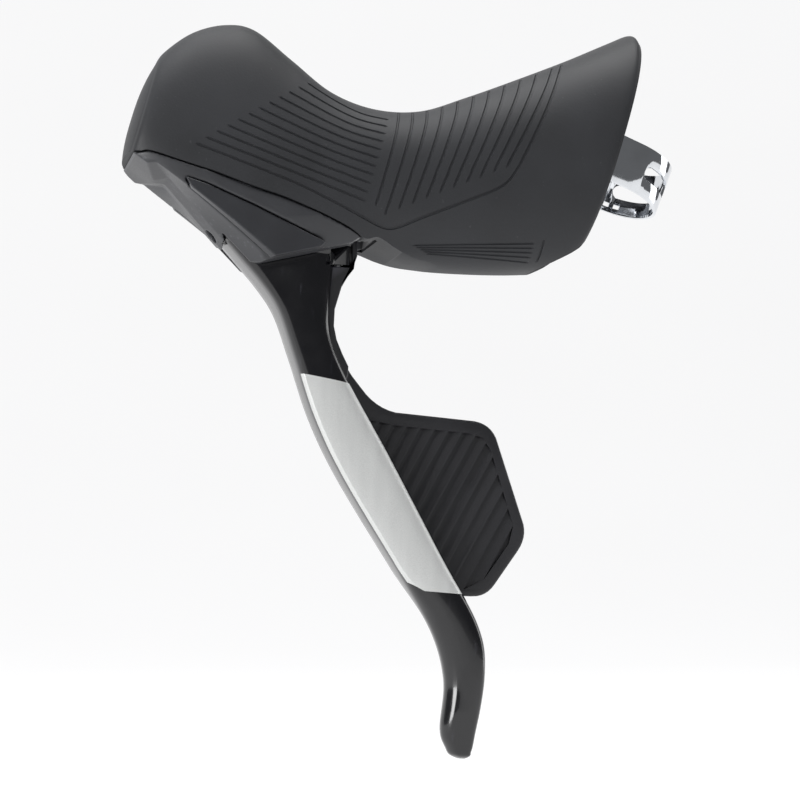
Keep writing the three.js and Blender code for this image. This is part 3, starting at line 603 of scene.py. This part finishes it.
def skin(name, inset=0.0, carry_on=0.0, lip=0.0, rows=120, sides=112):
    """The skin as a solid, moved inwards; its nose is domed and its cuff can be carried on."""
    turns = np.linspace(0, 2 * math.pi, sides, endpoint=False)
    rings = []
    for spread in np.linspace(0.08, 1, 12)[:-1] ** 0.7:
        dome = 1.5 * (1 - spread ** 2.6)
        rings.append([skin_point(0, turn, inset, spread) - Vector((dome, 0, 0)) for turn in turns])
    for t in np.linspace(0, LAST_STATION, rows):
        rings.append([skin_point(t, turn, inset) for turn in turns])
    if lip:
        rings[-1] = [skin_point(LAST_STATION - 0.05, turn, inset) for turn in turns]
        rings.append([skin_point(LAST_STATION - 0.012, turn, inset + lip * 0.3) for turn in turns])
        rings.append([skin_point(LAST_STATION, turn, inset + lip) for turn in turns])
    if carry_on:
        shift = Vector((carry_on, 0, carry_on * 0.1))
        rings.append([point + shift for point in rings[-1]])
    return lofted(name, rings)


def on_skin(x, z):
    """Where a side-view point lies: its place along the skin and its turn from the top."""
    along = np.linspace(0, LAST_STATION, 521)
    top_x, top_z, foot_x, foot_z, _, _ = station(along)
    across = (top_x - foot_x) * (z - foot_z) - (top_z - foot_z) * (x - foot_x)
    crossing = np.argmax(np.sign(across[1:]) != np.sign(across[:-1]))
    share = across[crossing] / (across[crossing] - across[crossing + 1])
    t = along[crossing] + share * (along[1] - along[0])
    top_x, top_z, foot_x, foot_z, _, _ = station(t)
    lean, rise = top_x - foot_x, top_z - foot_z
    up = 2 * ((x - (top_x + foot_x) / 2) * lean + (z - (top_z + foot_z) / 2) * rise)
    up = np.clip(up / (lean * lean + rise * rise), -0.999, 0.999)
    return t, math.acos(math.copysign(abs(up) ** (1 / SQUARENESS), up))


def bar_point(axial, forward, y=0.0):
    """A point given along the bar's axis and forward of it."""
    sin, cos = math.sin(BAR_TILT), math.cos(BAR_TILT)
    return (axial * sin - forward * cos, y, axial * cos + forward * sin)


def bar_sweep(radius, sides=48):
    """The handlebar's space: upright through the clamp, then curving back."""
    path = even(smooth([
        (-21, 0, -56), bar_point(-24, 0), bar_point(-10, 0), bar_point(4, 0),
        (8.5, 0, 16), (20, 0, 25), (44, 0, 29),
    ], 12), 60)
    rings = []
    for tangent, centre in zip(np.gradient(path, axis=0), path):
        tangent = tangent / np.linalg.norm(tangent)
        across = np.cross(tangent, (0, 1, 0))
        rings.append([
            centre + radius * (math.cos(a) * across + math.sin(a) * np.array((0, 1, 0)))
            for a in np.linspace(0, 2 * math.pi, sides, endpoint=False)
        ])
    return lofted("bar_space", rings)


# ------------------------------------------------------------------ grip grooves


def grip_lines():
    """The hood's grooves as lists of (place along the skin, turn from the top)."""
    lines = []
    for share in np.linspace(0, 1, 11):
        start = np.array((-84.2, 16.6)) + share * np.array((-25.9, -16.2))
        end = np.array((-64.0, 8.2)) + share * np.array((-6.5, -21.5))
        sag = np.array((0, -1.5 * (1 - share)))
        knee = start * 0.4 + end * 0.6 + sag
        lines.append(draped([start, knee, end], 40))
    for share in np.linspace(0, 1, 11):
        top = np.array((-61.8, 7.6)) + share * np.array((39.9, 14.9))
        foot = np.array((-69.1, -17.7)) + share * np.array((33.3, 13.8))
        if share == 0:
            foot = np.array((-68.2, -14.3))
        lines.append(over_the_top([foot, top]))
    lines.append(over_the_top([
        (-112.5, -1.2), (-99.0, -5.9), (-88.1, -9.7), (-79.9, -13.2), (-70.4, -17.4),
        (-66.2, -19.1), (-62.9, -19.3), (-56.2, -16.6), (-44.4, -11.8), (-36.5, -8.2),
        (-32.8, -3.6), (-29.4, 3.0), (-25.9, 10.1), (-20.6, 21.4),
    ], 110))
    return lines


def draped(points, count):
    """A smooth line through side-view points, laid on the skin."""
    anchors = [on_skin(*p) for p in even(smooth(points, 8), 4 + 3 * len(points))]
    return [tuple(p) for p in even(smooth(anchors, 12), count)]


def over_the_top(points, count=36):
    """A line up the side of the skin, carried on until it is nearly over the top."""
    crown = 0.36
    path = draped(points, count)
    (t0, turn0), (t1, turn1) = path[-4], path[-1]
    slope = (t1 - t0) / (turn1 - turn0)
    return path + [(t1 + (turn - turn1) * slope, turn) for turn in np.linspace(turn1, crown, 10)[1:]]


def under_lines():
    """Short grooves on the palm's side of the hood, closed by one upright groove."""
    lines = []
    for row in range(5):
        left, right = (-58.0 + row, -22.9 - 0.4 * row), (-26.9, -21.4 - 1.0 * row)
        lines.append(draped([left, right], 36))
    lines.append(draped([(-24.8, -20.4), (-24.9, -25.2)], 12))
    return lines


def groove_cutters(radius, sides=6):
    """Thin round rods that lie in the skin along every groove, on both flanks."""
    points, faces = [], []
    for line in grip_lines() + under_lines():
        for flank in (-1, 1):
            add_rod(points, faces, line, flank, radius, sides)
    return edit(new_piece("grooves", points, faces), face_outwards)


def add_rod(points, faces, line, flank, radius, sides):
    first = len(points)
    centres = [skin_point(t, flank * turn) for t, turn in line]
    for i, (t, turn) in enumerate(line):
        along = (centres[min(i + 1, len(line) - 1)] - centres[max(i - 1, 0)]).normalized()
        step = 0.01
        normal = (skin_point(t, flank * (turn + step)) - centres[i]).cross(along)
        normal = normal.normalized()
        if normal.y * flank < 0:
            normal = -normal
        across = normal.cross(along)
        lift = radius * (0.8 if i in (0, len(line) - 1) else 0.0)
        for side in range(sides):
            angle = 2 * math.pi * (side + 0.5) / sides
            offset = math.cos(angle) * normal + math.sin(angle) * across
            points.append(centres[i] + radius * offset + lift * normal)
    for i in range(len(line) - 1):
        for side in range(sides):
            here, there = first + i * sides, first + (i + 1) * sides
            after = (side + 1) % sides
            faces.append((here + side, here + after, there + after, there + side))
    last = first + (len(line) - 1) * sides
    faces.append(range(first, first + sides))
    faces.append(range(last, last + sides))


# ------------------------------------------------------------------ the brake lever's blade


BLADE_FRONT = [
    (-103.4, -22.1), (-99.9, -26.0), (-94.0, -32.8), (-89.7, -39.4), (-85.8, -50.4),
    (-80.8, -65.2), (-73.6, -79.8), (-59.7, -102.1), (-50.4, -117.0), (-46.9, -129.5),
    (-47.9, -141.6), (-46.2, -146.8),
]
BLADE_REAR = [
    (-74.7, -24.2), (-75.5, -30.0), (-76.4, -38.0), (-76.1, -45.6), (-71.8, -55.9),
    (-61.4, -73.7), (-48.0, -98.5), (-38.4, -116.2), (-36.8, -128.0), (-39.5, -144.0),
    (-40.4, -147.2),
]
BLADE_ROWS = 150
# Across one side of a section from the front's middle to the rear's middle: (share of the
# depth behind the front chamfer, share of the half width).
FLANK = [
    (0.0, 0.95), (0.10, 0.985), (0.25, 1.0), (0.45, 1.0), (0.62, 0.985), (0.76, 0.95),
    (0.86, 0.88), (0.93, 0.74), (0.975, 0.5), (1.0, 0.22),
]


def blade_half(z):
    """The blade's half width, which narrows towards the tip."""
    down = min(1.0, max(0.0, (-40 - z) / 108))
    return BLADE_HALF * (1 - 0.28 * down)


def blade_lines():
    """The blade's front and rear lines in side view, row by row."""
    front = even(smooth(BLADE_FRONT, 10), BLADE_ROWS)
    rear = even(smooth(BLADE_REAR, 10), BLADE_ROWS)
    return front, rear


def blade_half_ring(row, front, rear, proud=0.0):
    """One side of a section, front to rear, as (x, half width, z) points."""
    share = row / (BLADE_ROWS - 1)
    head, heel = front[row], rear[row]
    depth = np.linalg.norm(heel - head)
    back = (heel - head) / depth
    chamfer = np.interp(share, [0, 0.3, 0.66, 0.75, 0.85, 1], [1.0, 0.95, 0.95, 3.0, 2.8, 1.8])
    flat = np.interp(share, [0, 0.3, 0.66, 0.75, 1], [0.74, 0.7, 0.68, 0.38, 0.34])
    half = blade_half((head[1] + heel[1]) / 2) * np.interp(share, [0, 0.93, 1], [1, 1, 0.72])
    places = [(0.0, 0.0), (0.02, flat * 0.5), (0.12, flat), (0.45, flat + (0.95 - flat) * 0.55),
              (0.8, flat + (0.95 - flat) * 0.88)]
    across = [(chamfer * u, v) for u, v in places]
    across += [(chamfer + (depth - chamfer) * u, v) for u, v in FLANK]
    return [
        (*(head + back * (u - proud * (1 - v))), v * half + proud * v)
        for u, v in across
    ]


def blade_rings(proud=0.0):
    """The blade's sections from neck to tip, moved outwards by a distance."""
    front, rear = blade_lines()
    rings = []
    for row in range(BLADE_ROWS):
        half = blade_half_ring(row, front, rear, proud)
        one = [(x, -y, z) for x, z, y in half]
        other = [(x, y, z) for x, z, y in half[:0:-1]]
        rings.append(one + [(rear[row][0], 0.0, rear[row][1])] + other)
    tip, shrinks = np.array(rings[-1]), (0.93, 0.8, 0.58, 0.3)
    away = np.array((0.25, 0.0, -0.97))
    for step, shrink in enumerate(shrinks):
        middle = tip.mean(0)
        rings.append((middle + (tip - middle) * shrink + away * 0.62 * (step + 1) ** 0.75))
    return rings


def arm_front(shift):
    """Front edge of the paddle's arm, just behind the blade's neck."""
    return [(x + shift, z) for x, z in (
        (-76.4, -31.0), (-77.3, -38.6), (-76.8, -45.6), (-75.4, -51.0), (-73.0, -57.0))]


def paddle_front(shift):
    """Front edge of the paddle's plate, hidden behind the blade."""
    return [(x + shift, z) for x, z in (
        (-75.2, -50.5), (-73.4, -58.0), (-66.5, -72.0), (-58.0, -87.5), (-48.6, -104.6),
        (-45.4, -109.4))]


# ------------------------------------------------------------------ the shift paddle


def corner(start, bend, end, steps=7):
    """A rounded corner: a quadratic curve drawn to a bend's point."""
    start, bend, end = map(np.array, (start, bend, end))
    return [tuple((1 - t) ** 2 * start + 2 * t * (1 - t) * bend + t * t * end)
            for t in np.linspace(0, 1, steps)]


def paddle_outline():
    """Side view of the paddle's plate."""
    return [
        (-71.2, -52.0), (-69.9, -54.0),
        *corner((-67.5, -57.0), (-64.0, -61.8), (-58.7, -62.9)),
        *corner((-38.2, -64.6), (-34.0, -65.2), (-32.4, -68.9)),
        *corner((-25.3, -90.6), (-24.5, -94.0), (-26.9, -97.4)),
        *corner((-33.0, -105.8), (-35.2, -108.9), (-38.8, -108.8)),
        (-45.0, -108.6), *paddle_front(0)[:-1][::-1],
    ]


ARM = [
    (-76.3, -18.5), (-70.2, -18.5), (-69.6, -19.6), (-69.6, -24.4), (-70.6, -27.2),
    (-73.6, -32.4), (-75.3, -38.0), (-75.5, -42.2), (-74.8, -45.6), (-73.3, -49.2),
    (-71.8, -52.2), (-71.9, -54.4), *arm_front(0)[::-1], (-76.4, -27.3), (-71.0, -27.3),
    (-70.9, -21.4), (-76.3, -21.4),
]
RIB_FIELD = [
    (-72.5, -62.0), (-66.0, -65.0), (-59.0, -66.2), (-40.0, -67.8), (-36.2, -68.8), (-34.0, -72.0),
    (-28.2, -91.0), (-29.4, -95.6), (-36.0, -104.6), (-41.0, -107.0), (-50.0, -108.0),
    (-80.0, -80.0),
]
RIB_LEAN = math.radians(60)


def rib_cutter(face, pitch, depth):
    """Saw teeth across the paddle's face: each has a long ramp and a short wall."""
    along = Vector((math.cos(RIB_LEAN), 0, math.sin(RIB_LEAN)))
    across = Vector((math.sin(RIB_LEAN), 0, -math.cos(RIB_LEAN)))
    outwards = Vector((0, -1, 0))
    centre = Vector((-52.0, face, -86.0))
    points, faces = [], []
    for tooth in range(-9, 10):
        foot = centre + across * pitch * tooth
        profile = [
            foot + outwards, foot - outwards * depth, foot + across * pitch * 0.3 - outwards * depth,
            foot + across * pitch * 0.86, foot + across * pitch * 0.86 + outwards,
        ]
        first, count = len(points), len(profile)
        for end in (-60, 60):
            points += [point + along * end for point in profile]
        for i in range(count):
            after = (i + 1) % count
            faces.append((first + i, first + after, first + count + after, first + count + i))
        faces.append(range(first, first + count))
        faces.append(range(first + count, first + 2 * count))
    teeth = edit(new_piece("rib_teeth", points, faces), face_outwards)
    field = slab("rib_field", RIB_FIELD, face - 2, face + 2)
    return combine(teeth, "INTERSECT", field)


# ------------------------------------------------------------------ operators


class BuildFinishes(bpy.types.Operator):
    """Make every finish and give the carried-over nodes theirs"""

    bl_idname = "shift_lever.finishes"
    bl_label = "Finishes and hardware"

    def execute(self, context):
        finishes = all_finishes(context.scene.lever_colours)
        for part in frame["record"]["subparts"]:
            mesh = frame["nodes"][part["node"]].data
            mesh.materials.clear()
            mesh.materials.append(finishes[part["material_slot"]])
        return {"FINISHED"}


class BuildHood(bpy.types.Operator):
    """Rubber hood: a domed skin with a clean cuff, a front lip and grip grooves"""

    bl_idname = "shift_lever.hood"
    bl_label = "Rubber hood"

    def execute(self, context):
        sizes = context.scene.lever_sizes
        hood = skin("hood_skin", lip=0.8, rows=190, sides=160)
        edge = smooth(RUBBER_EDGE + HEEL_EDGE, 8)
        front = [*edge, (-42, -60), (-150, -60), (-150, -4)]
        inside = skin("hood_inside", sizes.rubber / MM, carry_on=8, rows=60, sides=72)
        cut(inside, slab("solid_heel", SOLID_HEEL, -40, 40))
        cut(
            hood, inside, bar_sweep(BAR_RADIUS + 1.1), slab("front", front, -40, 40),
            groove_cutters(sizes.groove / MM),
        )
        hand_over(rounded(hood, 32), "root", "hood_rubber", "hood_cover")
        return {"FINISHED"}


def cover_outline(grow=0.0):
    """Side view of a side panel, or of its seat when grown."""
    return [
        (-114.6 - grow, -9.2 + grow * 0.8), (-109.6, -10.7 + grow), (-98.2, -15.4 + grow),
        (-80.4 + grow, -23.6 + grow), (-81.6 + grow, -24.9 - grow), (-95.4, -28.2 - grow),
        (-104.1 - grow * 0.6, -20.8 - grow * 0.8), (-111.2 - grow * 0.6, -15.2 - grow * 0.8),
    ]


SLOT = [
    (-111.6, -3.2), (-66.3, -3.2), (-66.3, -40.0), (-103.3, -40.0), (-103.3, -23.8),
    (-103.9, -21.8), (-105.3, -18.9), (-109.4, -13.6), (-111.6, -11.0),
]


FRONT_OUT = Vector((-0.742, 0, -0.67))  # straight out of the housing's front face
FRONT_CROWN = 0.7  # how far the middle of the face stands out past its ridges


def front_bevels():
    """Everything ahead of the hard front: a crowned face with a twisting bevel at each side."""
    rings = []
    for s in np.linspace(0, 1.35, 30):
        ridge = Vector((-117.3 + 13.1 * s, 5.5, -7.7 - 14.5 * s))
        crease = Vector((-120.4 + 23.9 * s, 11.5 + 3.5 * s, -6.2 - 18.5 * s))
        flank = [ridge, crease, ridge.lerp(crease, 2.2)]
        crown = Vector((ridge.x, 0, ridge.z)) + FRONT_OUT * FRONT_CROWN
        across = [Vector((p.x, -p.y, p.z)) for p in flank[::-1]] + [crown] + flank
        rings.append(across + [across[-1] + FRONT_OUT * 14, across[0] + FRONT_OUT * 14])
    return lofted("front_bevels", rings)


def reach_point(out):
    """A point on the reach screw's axis, some way out from its tip."""
    return (-101.2 - 0.832 * out, 0, -17.4 - 0.555 * out)


def front_shape():
    """Side view of the hard front, from just under the rubber's edge down."""
    edge = [(x, z - GAP) for x, z in smooth(RUBBER_EDGE[1:], 8)]
    return edge[::-1] + FRONT_UNDERSIDE[::-1]


class BuildHousing(bpy.types.Operator):
    """Hard front of the housing with moulded edges, and the saddle inside the hood"""

    bl_idname = "shift_lever.housing"
    bl_label = "Housing"

    def execute(self, context):
        grain = context.scene.lever_sizes.moulding
        nose = combine(skin("housing_nose"), "INTERSECT", slab("front_shape", front_shape(), -16, 16))
        covers = [
            slab("cover_seat", cover_outline(GAP), *limits)
            for limits in ((-30, -CHEEK), (CHEEK, 30))
        ]
        cut(
            nose, slab("slot", SLOT, -SLOT_HALF, SLOT_HALF), *covers, front_bevels(),
            rod(PIN_RADIUS, (PIVOT[0], -13.05, PIVOT[1]), (PIVOT[0], 20, PIVOT[1])),
            rod(REACH_HOLE, reach_point(0), reach_point(14)), block(*BOARD_BAY),
        )
        hand_over(moulded(nose, grain), "root", "housing_plastic", "lever_body")
        core = copied("lever_body", "housing_core")
        below = [(x, z - GAP) for x, z in smooth(RUBBER_EDGE, 8)]
        cut(core, slab("front_part", [*below, (-70, -45), (-140, -45), (-140, -2)], -40, 40))
        hand_over(rounded(core, 40), "root", "housing_plastic", "lever_body")
        return {"FINISHED"}


class BuildSidePanels(bpy.types.Operator):
    """Side panels, set into the cheeks with a seam all round"""

    bl_idname = "shift_lever.side_panels"
    bl_label = "Side panels"

    def execute(self, context):
        grain = context.scene.lever_sizes.moulding
        for side, name in ((-1, "outboard"), (1, "inboard")):
            low, high = sorted((side * (CHEEK + GAP), side * COVER_FACE))
            panel = slab(f"side_panel_{name}", cover_outline(), low, high)
            cut(panel, front_bevels())
            if side > 0:
                for x, z, radius in (BUTTON, LIGHT):
                    cut(panel, rod(radius + GAP, (x, 0, z), (x, 30, z)))
            moulded(panel, grain * 0.75, 4)
            hand_over(panel, "root", "trim_plastic", f"side_cover_{name}")
        return {"FINISHED"}


class BuildBlade(bpy.types.Operator):
    """Lever blade: a lofted, lacquered blade with a front ridge, joined to its machined head"""

    bl_idname = "shift_lever.blade"
    bl_label = "Lever blade"

    def execute(self, context):
        blade = lofted("lever_blade", blade_rings())
        cut(
            blade,
            slab("arm_space", [(-77.3, -27.0), *arm_front(-0.9), (-60, -58), (-60, -27.0)], -3.5, 20),
            slab("plate_space", [*paddle_front(-0.9), (-40, -110), (-30, -50)],
                 PADDLE_MIDDLE - 2, 20),
        )
        head = copied("brake_lever_blade", "lever_head")
        cut(head, slab("below", [
            (-130, -22.3), (-103.3, -22.3), (-77.3, -24.4), (-77.3, -27.3), (-60, -27.3), (-20, -160),
            (-130, -160),
        ], -20, 20))
        combine(blade, "UNION", head)
        hand_over(rounded(blade, 34), "brake_lever", "lever_gloss", "brake_lever_blade")
        return {"FINISHED"}


class BuildBadge(bpy.types.Operator):
    """Satin band round the outboard flank of the blade"""

    bl_idname = "shift_lever.badge"
    bl_label = "Lever band"

    def execute(self, context):
        band = combine(
            lofted("lever_band", blade_rings(0.3)), "INTERSECT",
            slab("band_zone", [
                (-88.0, -54.0), (-68.0, -57.5), (-38.0, -104.0), (-40.0, -108.6), (-53.1, -107.6),
                (-59.0, -104.5), (-66.0, -101.0), (-92.0, -70.0),
            ], -12, -0.6))
        cut(band, lofted("band_inside", blade_rings(0.06)))
        front, rear = blade_lines()
        ridge = [blade_half_ring(row, front, rear)[3] for row in range(BLADE_ROWS)]
        ahead = [(x - 0.25, z) for x, z, _ in ridge]
        cut(band, slab("ahead", [*ahead, (-100, -150), (-150, -100), (-150, -20)], -14, 14))
        hand_over(rounded(band, 34), "brake_lever", "badge_silver", "lever_badge")
        return {"FINISHED"}


class BuildPaddle(bpy.types.Operator):
    """Shift paddle: a plate with saw-tooth ribs and a forked arm"""

    bl_idname = "shift_lever.paddle"
    bl_label = "Shift paddle"

    def execute(self, context):
        sizes = context.scene.lever_sizes
        face = PADDLE_MIDDLE - PADDLE_HALF
        paddle = slab("paddle_plate", paddle_outline(), face, PADDLE_MIDDLE + PADDLE_HALF)
        modify(paddle, "BEVEL", width=0.7 * MM, segments=4, limit_method="ANGLE",
               angle_limit=math.radians(60))
        cut(paddle, rib_cutter(face, sizes.rib_pitch / MM, sizes.rib_depth / MM))
        arm = slab("paddle_arm", ARM, -2.6, 2.6)
        modify(arm, "BEVEL", width=0.45 * MM, segments=3, limit_method="ANGLE",
               angle_limit=math.radians(60))
        combine(paddle, "UNION", arm)
        lean = Vector((math.sin(PADDLE_PIN_LEAN), 0, math.cos(PADDLE_PIN_LEAN)))
        pin = Vector((PADDLE_PIN[0], 0, PADDLE_PIN[1]))
        cut(paddle, rod(PADDLE_PIN_RADIUS + GAP, pin + lean * 9, pin - lean * 9))
        hand_over(rounded(paddle, 30), "paddle", "paddle_plastic", "shift_paddle")
        return {"FINISHED"}


def band_outline(radius, reach):
    """A loop round the bar and, in front of it, round the clamp nut, as (forward, side)."""
    loop = [(-radius * math.sin(a), radius * math.cos(a)) for a in np.linspace(0, math.pi, 49)]
    loop += corner((reach - 3, -radius), (reach, -radius), (reach, -radius + 3))
    loop += corner((reach, radius - 3), (reach, radius), (reach - 3, radius))
    return loop


def in_bar_frame(piece):
    """Turns a piece drawn as (forward, side, up the bar) into the frame."""
    forward, up = Vector(bar_point(0, 1)), Vector(bar_point(1, 0))
    piece.data.transform(Matrix((forward, up.cross(forward), up)).transposed().to_4x4())
    return piece


def upright(name, outline, low, high):
    """An outline of (forward, side) points given height up the bar."""
    def thicken():
        bpy.ops.mesh.extrude_region_move(TRANSFORM_OT_translate={"value": (0, 0, (high - low) * MM)})
    piece = new_piece(name, [(x, y, low) for x, y in outline], [range(len(outline))])
    return edit(piece, thicken, face_outwards)


def pill(half_length, radius):
    """A slot's outline with round ends, as (forward, up) points."""
    ends = [(-half_length, math.pi / 2), (half_length, -math.pi / 2)]
    return [
        (x + radius * math.cos(a), radius * math.sin(a))
        for x, first in ends for a in np.linspace(first, first + math.pi, 13)
    ]


class BuildBand(bpy.types.Operator):
    """Chrome clamp band with a window at each side of its rear bend"""

    bl_idname = "shift_lever.band"
    bl_label = "Clamp band"

    def execute(self, context):
        half = BAND_WIDTH / 2
        band = upright("chrome_band", band_outline(BAR_RADIUS + BAND_THICK, BAND_REACH), -half, half)
        cut(band, upright("inside", band_outline(BAR_RADIUS, BAND_REACH - BAND_THICK), -20, 20))
        for low, high in ((-15, -4), (4, 15)):
            cut(band, slab("window", [(x - 9.4, z) for x, z in pill(4.2, 1.9)], low, high))
        for tooth in range(5):
            cut(band, block((1.5, 6, 1.1), (-5.5 + 2.6 * tooth, -BAR_RADIUS, -4.3)))
        cut(band, rod(BOLT_RADIUS + GAP, (10, 0, 0), (24, 0, 0)))
        modify(band, "BEVEL", width=0.16 * MM, segments=2, limit_method="ANGLE",
               angle_limit=math.radians(50))
        in_bar_frame(band)
        hand_over(rounded(band, 34), "clamp_slide", "band_chrome", "clamp_band")
        return {"FINISHED"}


# ------------------------------------------------------------------ stage


def plain_finish(name, colour, glow):
    """A pale paper sweep with the faintest tone in it."""
    finish = Finish(name)
    tone = finish.noise(0.004, 2.0)
    paper = finish.blend(tone, tinted(colour, 0.99), colour)
    return finish.surface(
        Base_Color=finish.blend(tone, (0.10, 0.10, 0.10), (0.12, 0.12, 0.12)), Roughness=0.9,
        Emission_Color=paper, Emission_Strength=glow,
    )


def area_light(name, place, target, size, power, colour=(1, 1, 1)):
    light = bpy.data.lights.new(name, "AREA")
    light.shape, light.size, light.size_y = "RECTANGLE", size[0], size[1]
    light.energy, light.color = power, colour
    lamp = bpy.data.objects.new(name, light)
    lamp.location = place
    lamp.rotation_euler = (Vector(target) - Vector(place)).to_track_quat("-Z", "Y").to_euler()
    bpy.context.collection.objects.link(lamp)


class BuildStage(bpy.types.Operator):
    """Pale floor and sweep, soft studio lights and the camera"""

    bl_idname = "shift_lever.stage"
    bl_label = "Stage"

    def execute(self, context):
        low, _ = CAD_BOX
        floor = low[2] - 0.003
        curve = [(0.9 + 0.7 * math.sin(a), floor + 0.7 * (1 - math.cos(a)))
                 for a in np.linspace(0, math.pi / 2, 16)]
        profile = [(-2.2, floor), *curve, (1.6, 2.4)]
        points = [(x, y, z) for y, z in profile for x in (-2.6, 2.4)]
        faces = [(2 * i, 2 * i + 1, 2 * i + 3, 2 * i + 2) for i in range(len(profile) - 1)]
        sweep = new_piece("sweep", [Vector(p) / MM for p in points], faces)
        sweep.data.materials.append(plain_finish("paper", (0.97, 0.97, 0.975), 0.9))
        rounded(sweep, 60)
        middle = (-0.06, 0.0, -0.03)
        area_light("overhead", (-0.10, -0.10, 0.75), middle, (0.9, 0.7), 9)
        area_light("front_strip", (-0.70, -0.24, -0.26), middle, (0.35, 0.8), 10)
        area_light("rear_strip", (0.7, 0.05, 0.1), middle, (0.3, 0.7), 1.6)
        area_light("camera_fill", (-0.1, -1.1, 0.35), middle, (0.5, 0.3), 0.5)
        world = bpy.data.worlds.new("studio")
        world.use_nodes = True
        world.node_tree.nodes["Background"].inputs[0].default_value = (0.62, 0.63, 0.65, 1)
        world.node_tree.nodes["Background"].inputs[1].default_value = 0.2
        context.scene.world = world
        context.scene.view_settings.view_transform = "Standard"
        self.camera(context)
        return {"FINISHED"}

    def camera(self, context):
        target = Vector((-58.09, 0, -59.98)) * MM
        towards = Vector((-0.2406, -0.9650, -0.1045))
        data = bpy.data.cameras.new("camera")
        data.lens, data.sensor_width = 93.6, 36.0
        camera = bpy.data.objects.new("camera", data)
        camera.location = target + towards * 0.52
        camera.rotation_euler = towards.to_track_quat("Z", "Y").to_euler()
        context.collection.objects.link(camera)
        context.scene.camera = camera


# ------------------------------------------------------------------ add-on


OPERATORS = (
    BuildStage, BuildFinishes, BuildHood, BuildHousing, BuildSidePanels, BuildBlade, BuildBadge,
    BuildPaddle, BuildBand,
)


class ShiftLeverPanel(bpy.types.Panel):
    """Lists the pieces of the shift lever"""

    bl_idname = "VIEW3D_PT_shift_lever"
    bl_label = "Shift lever"
    bl_space_type = "VIEW_3D"
    bl_region_type = "UI"
    bl_category = "Shift Lever"

    def draw(self, context):
        for settings in (context.scene.lever_sizes, context.scene.lever_colours):
            for name in settings.bl_rna.properties.keys():
                if name not in ("rna_type", "name"):
                    self.layout.prop(settings, name)
        for operator in OPERATORS:
            self.layout.operator(operator.bl_idname)


CLASSES = (LeverSizes, LeverColours, *OPERATORS, ShiftLeverPanel)


def register():
    for item in CLASSES:
        bpy.utils.register_class(item)
    bpy.types.Scene.lever_sizes = bpy.props.PointerProperty(type=LeverSizes)
    bpy.types.Scene.lever_colours = bpy.props.PointerProperty(type=LeverColours)


def unregister():
    del bpy.types.Scene.lever_sizes
    del bpy.types.Scene.lever_colours
    for item in reversed(CLASSES):
        bpy.utils.unregister_class(item)


def main():
    register()
    for operator in OPERATORS:
        group, name = operator.bl_idname.split(".")
        getattr(getattr(bpy.ops, group), name)()


if __name__ == "__main__":
    main()
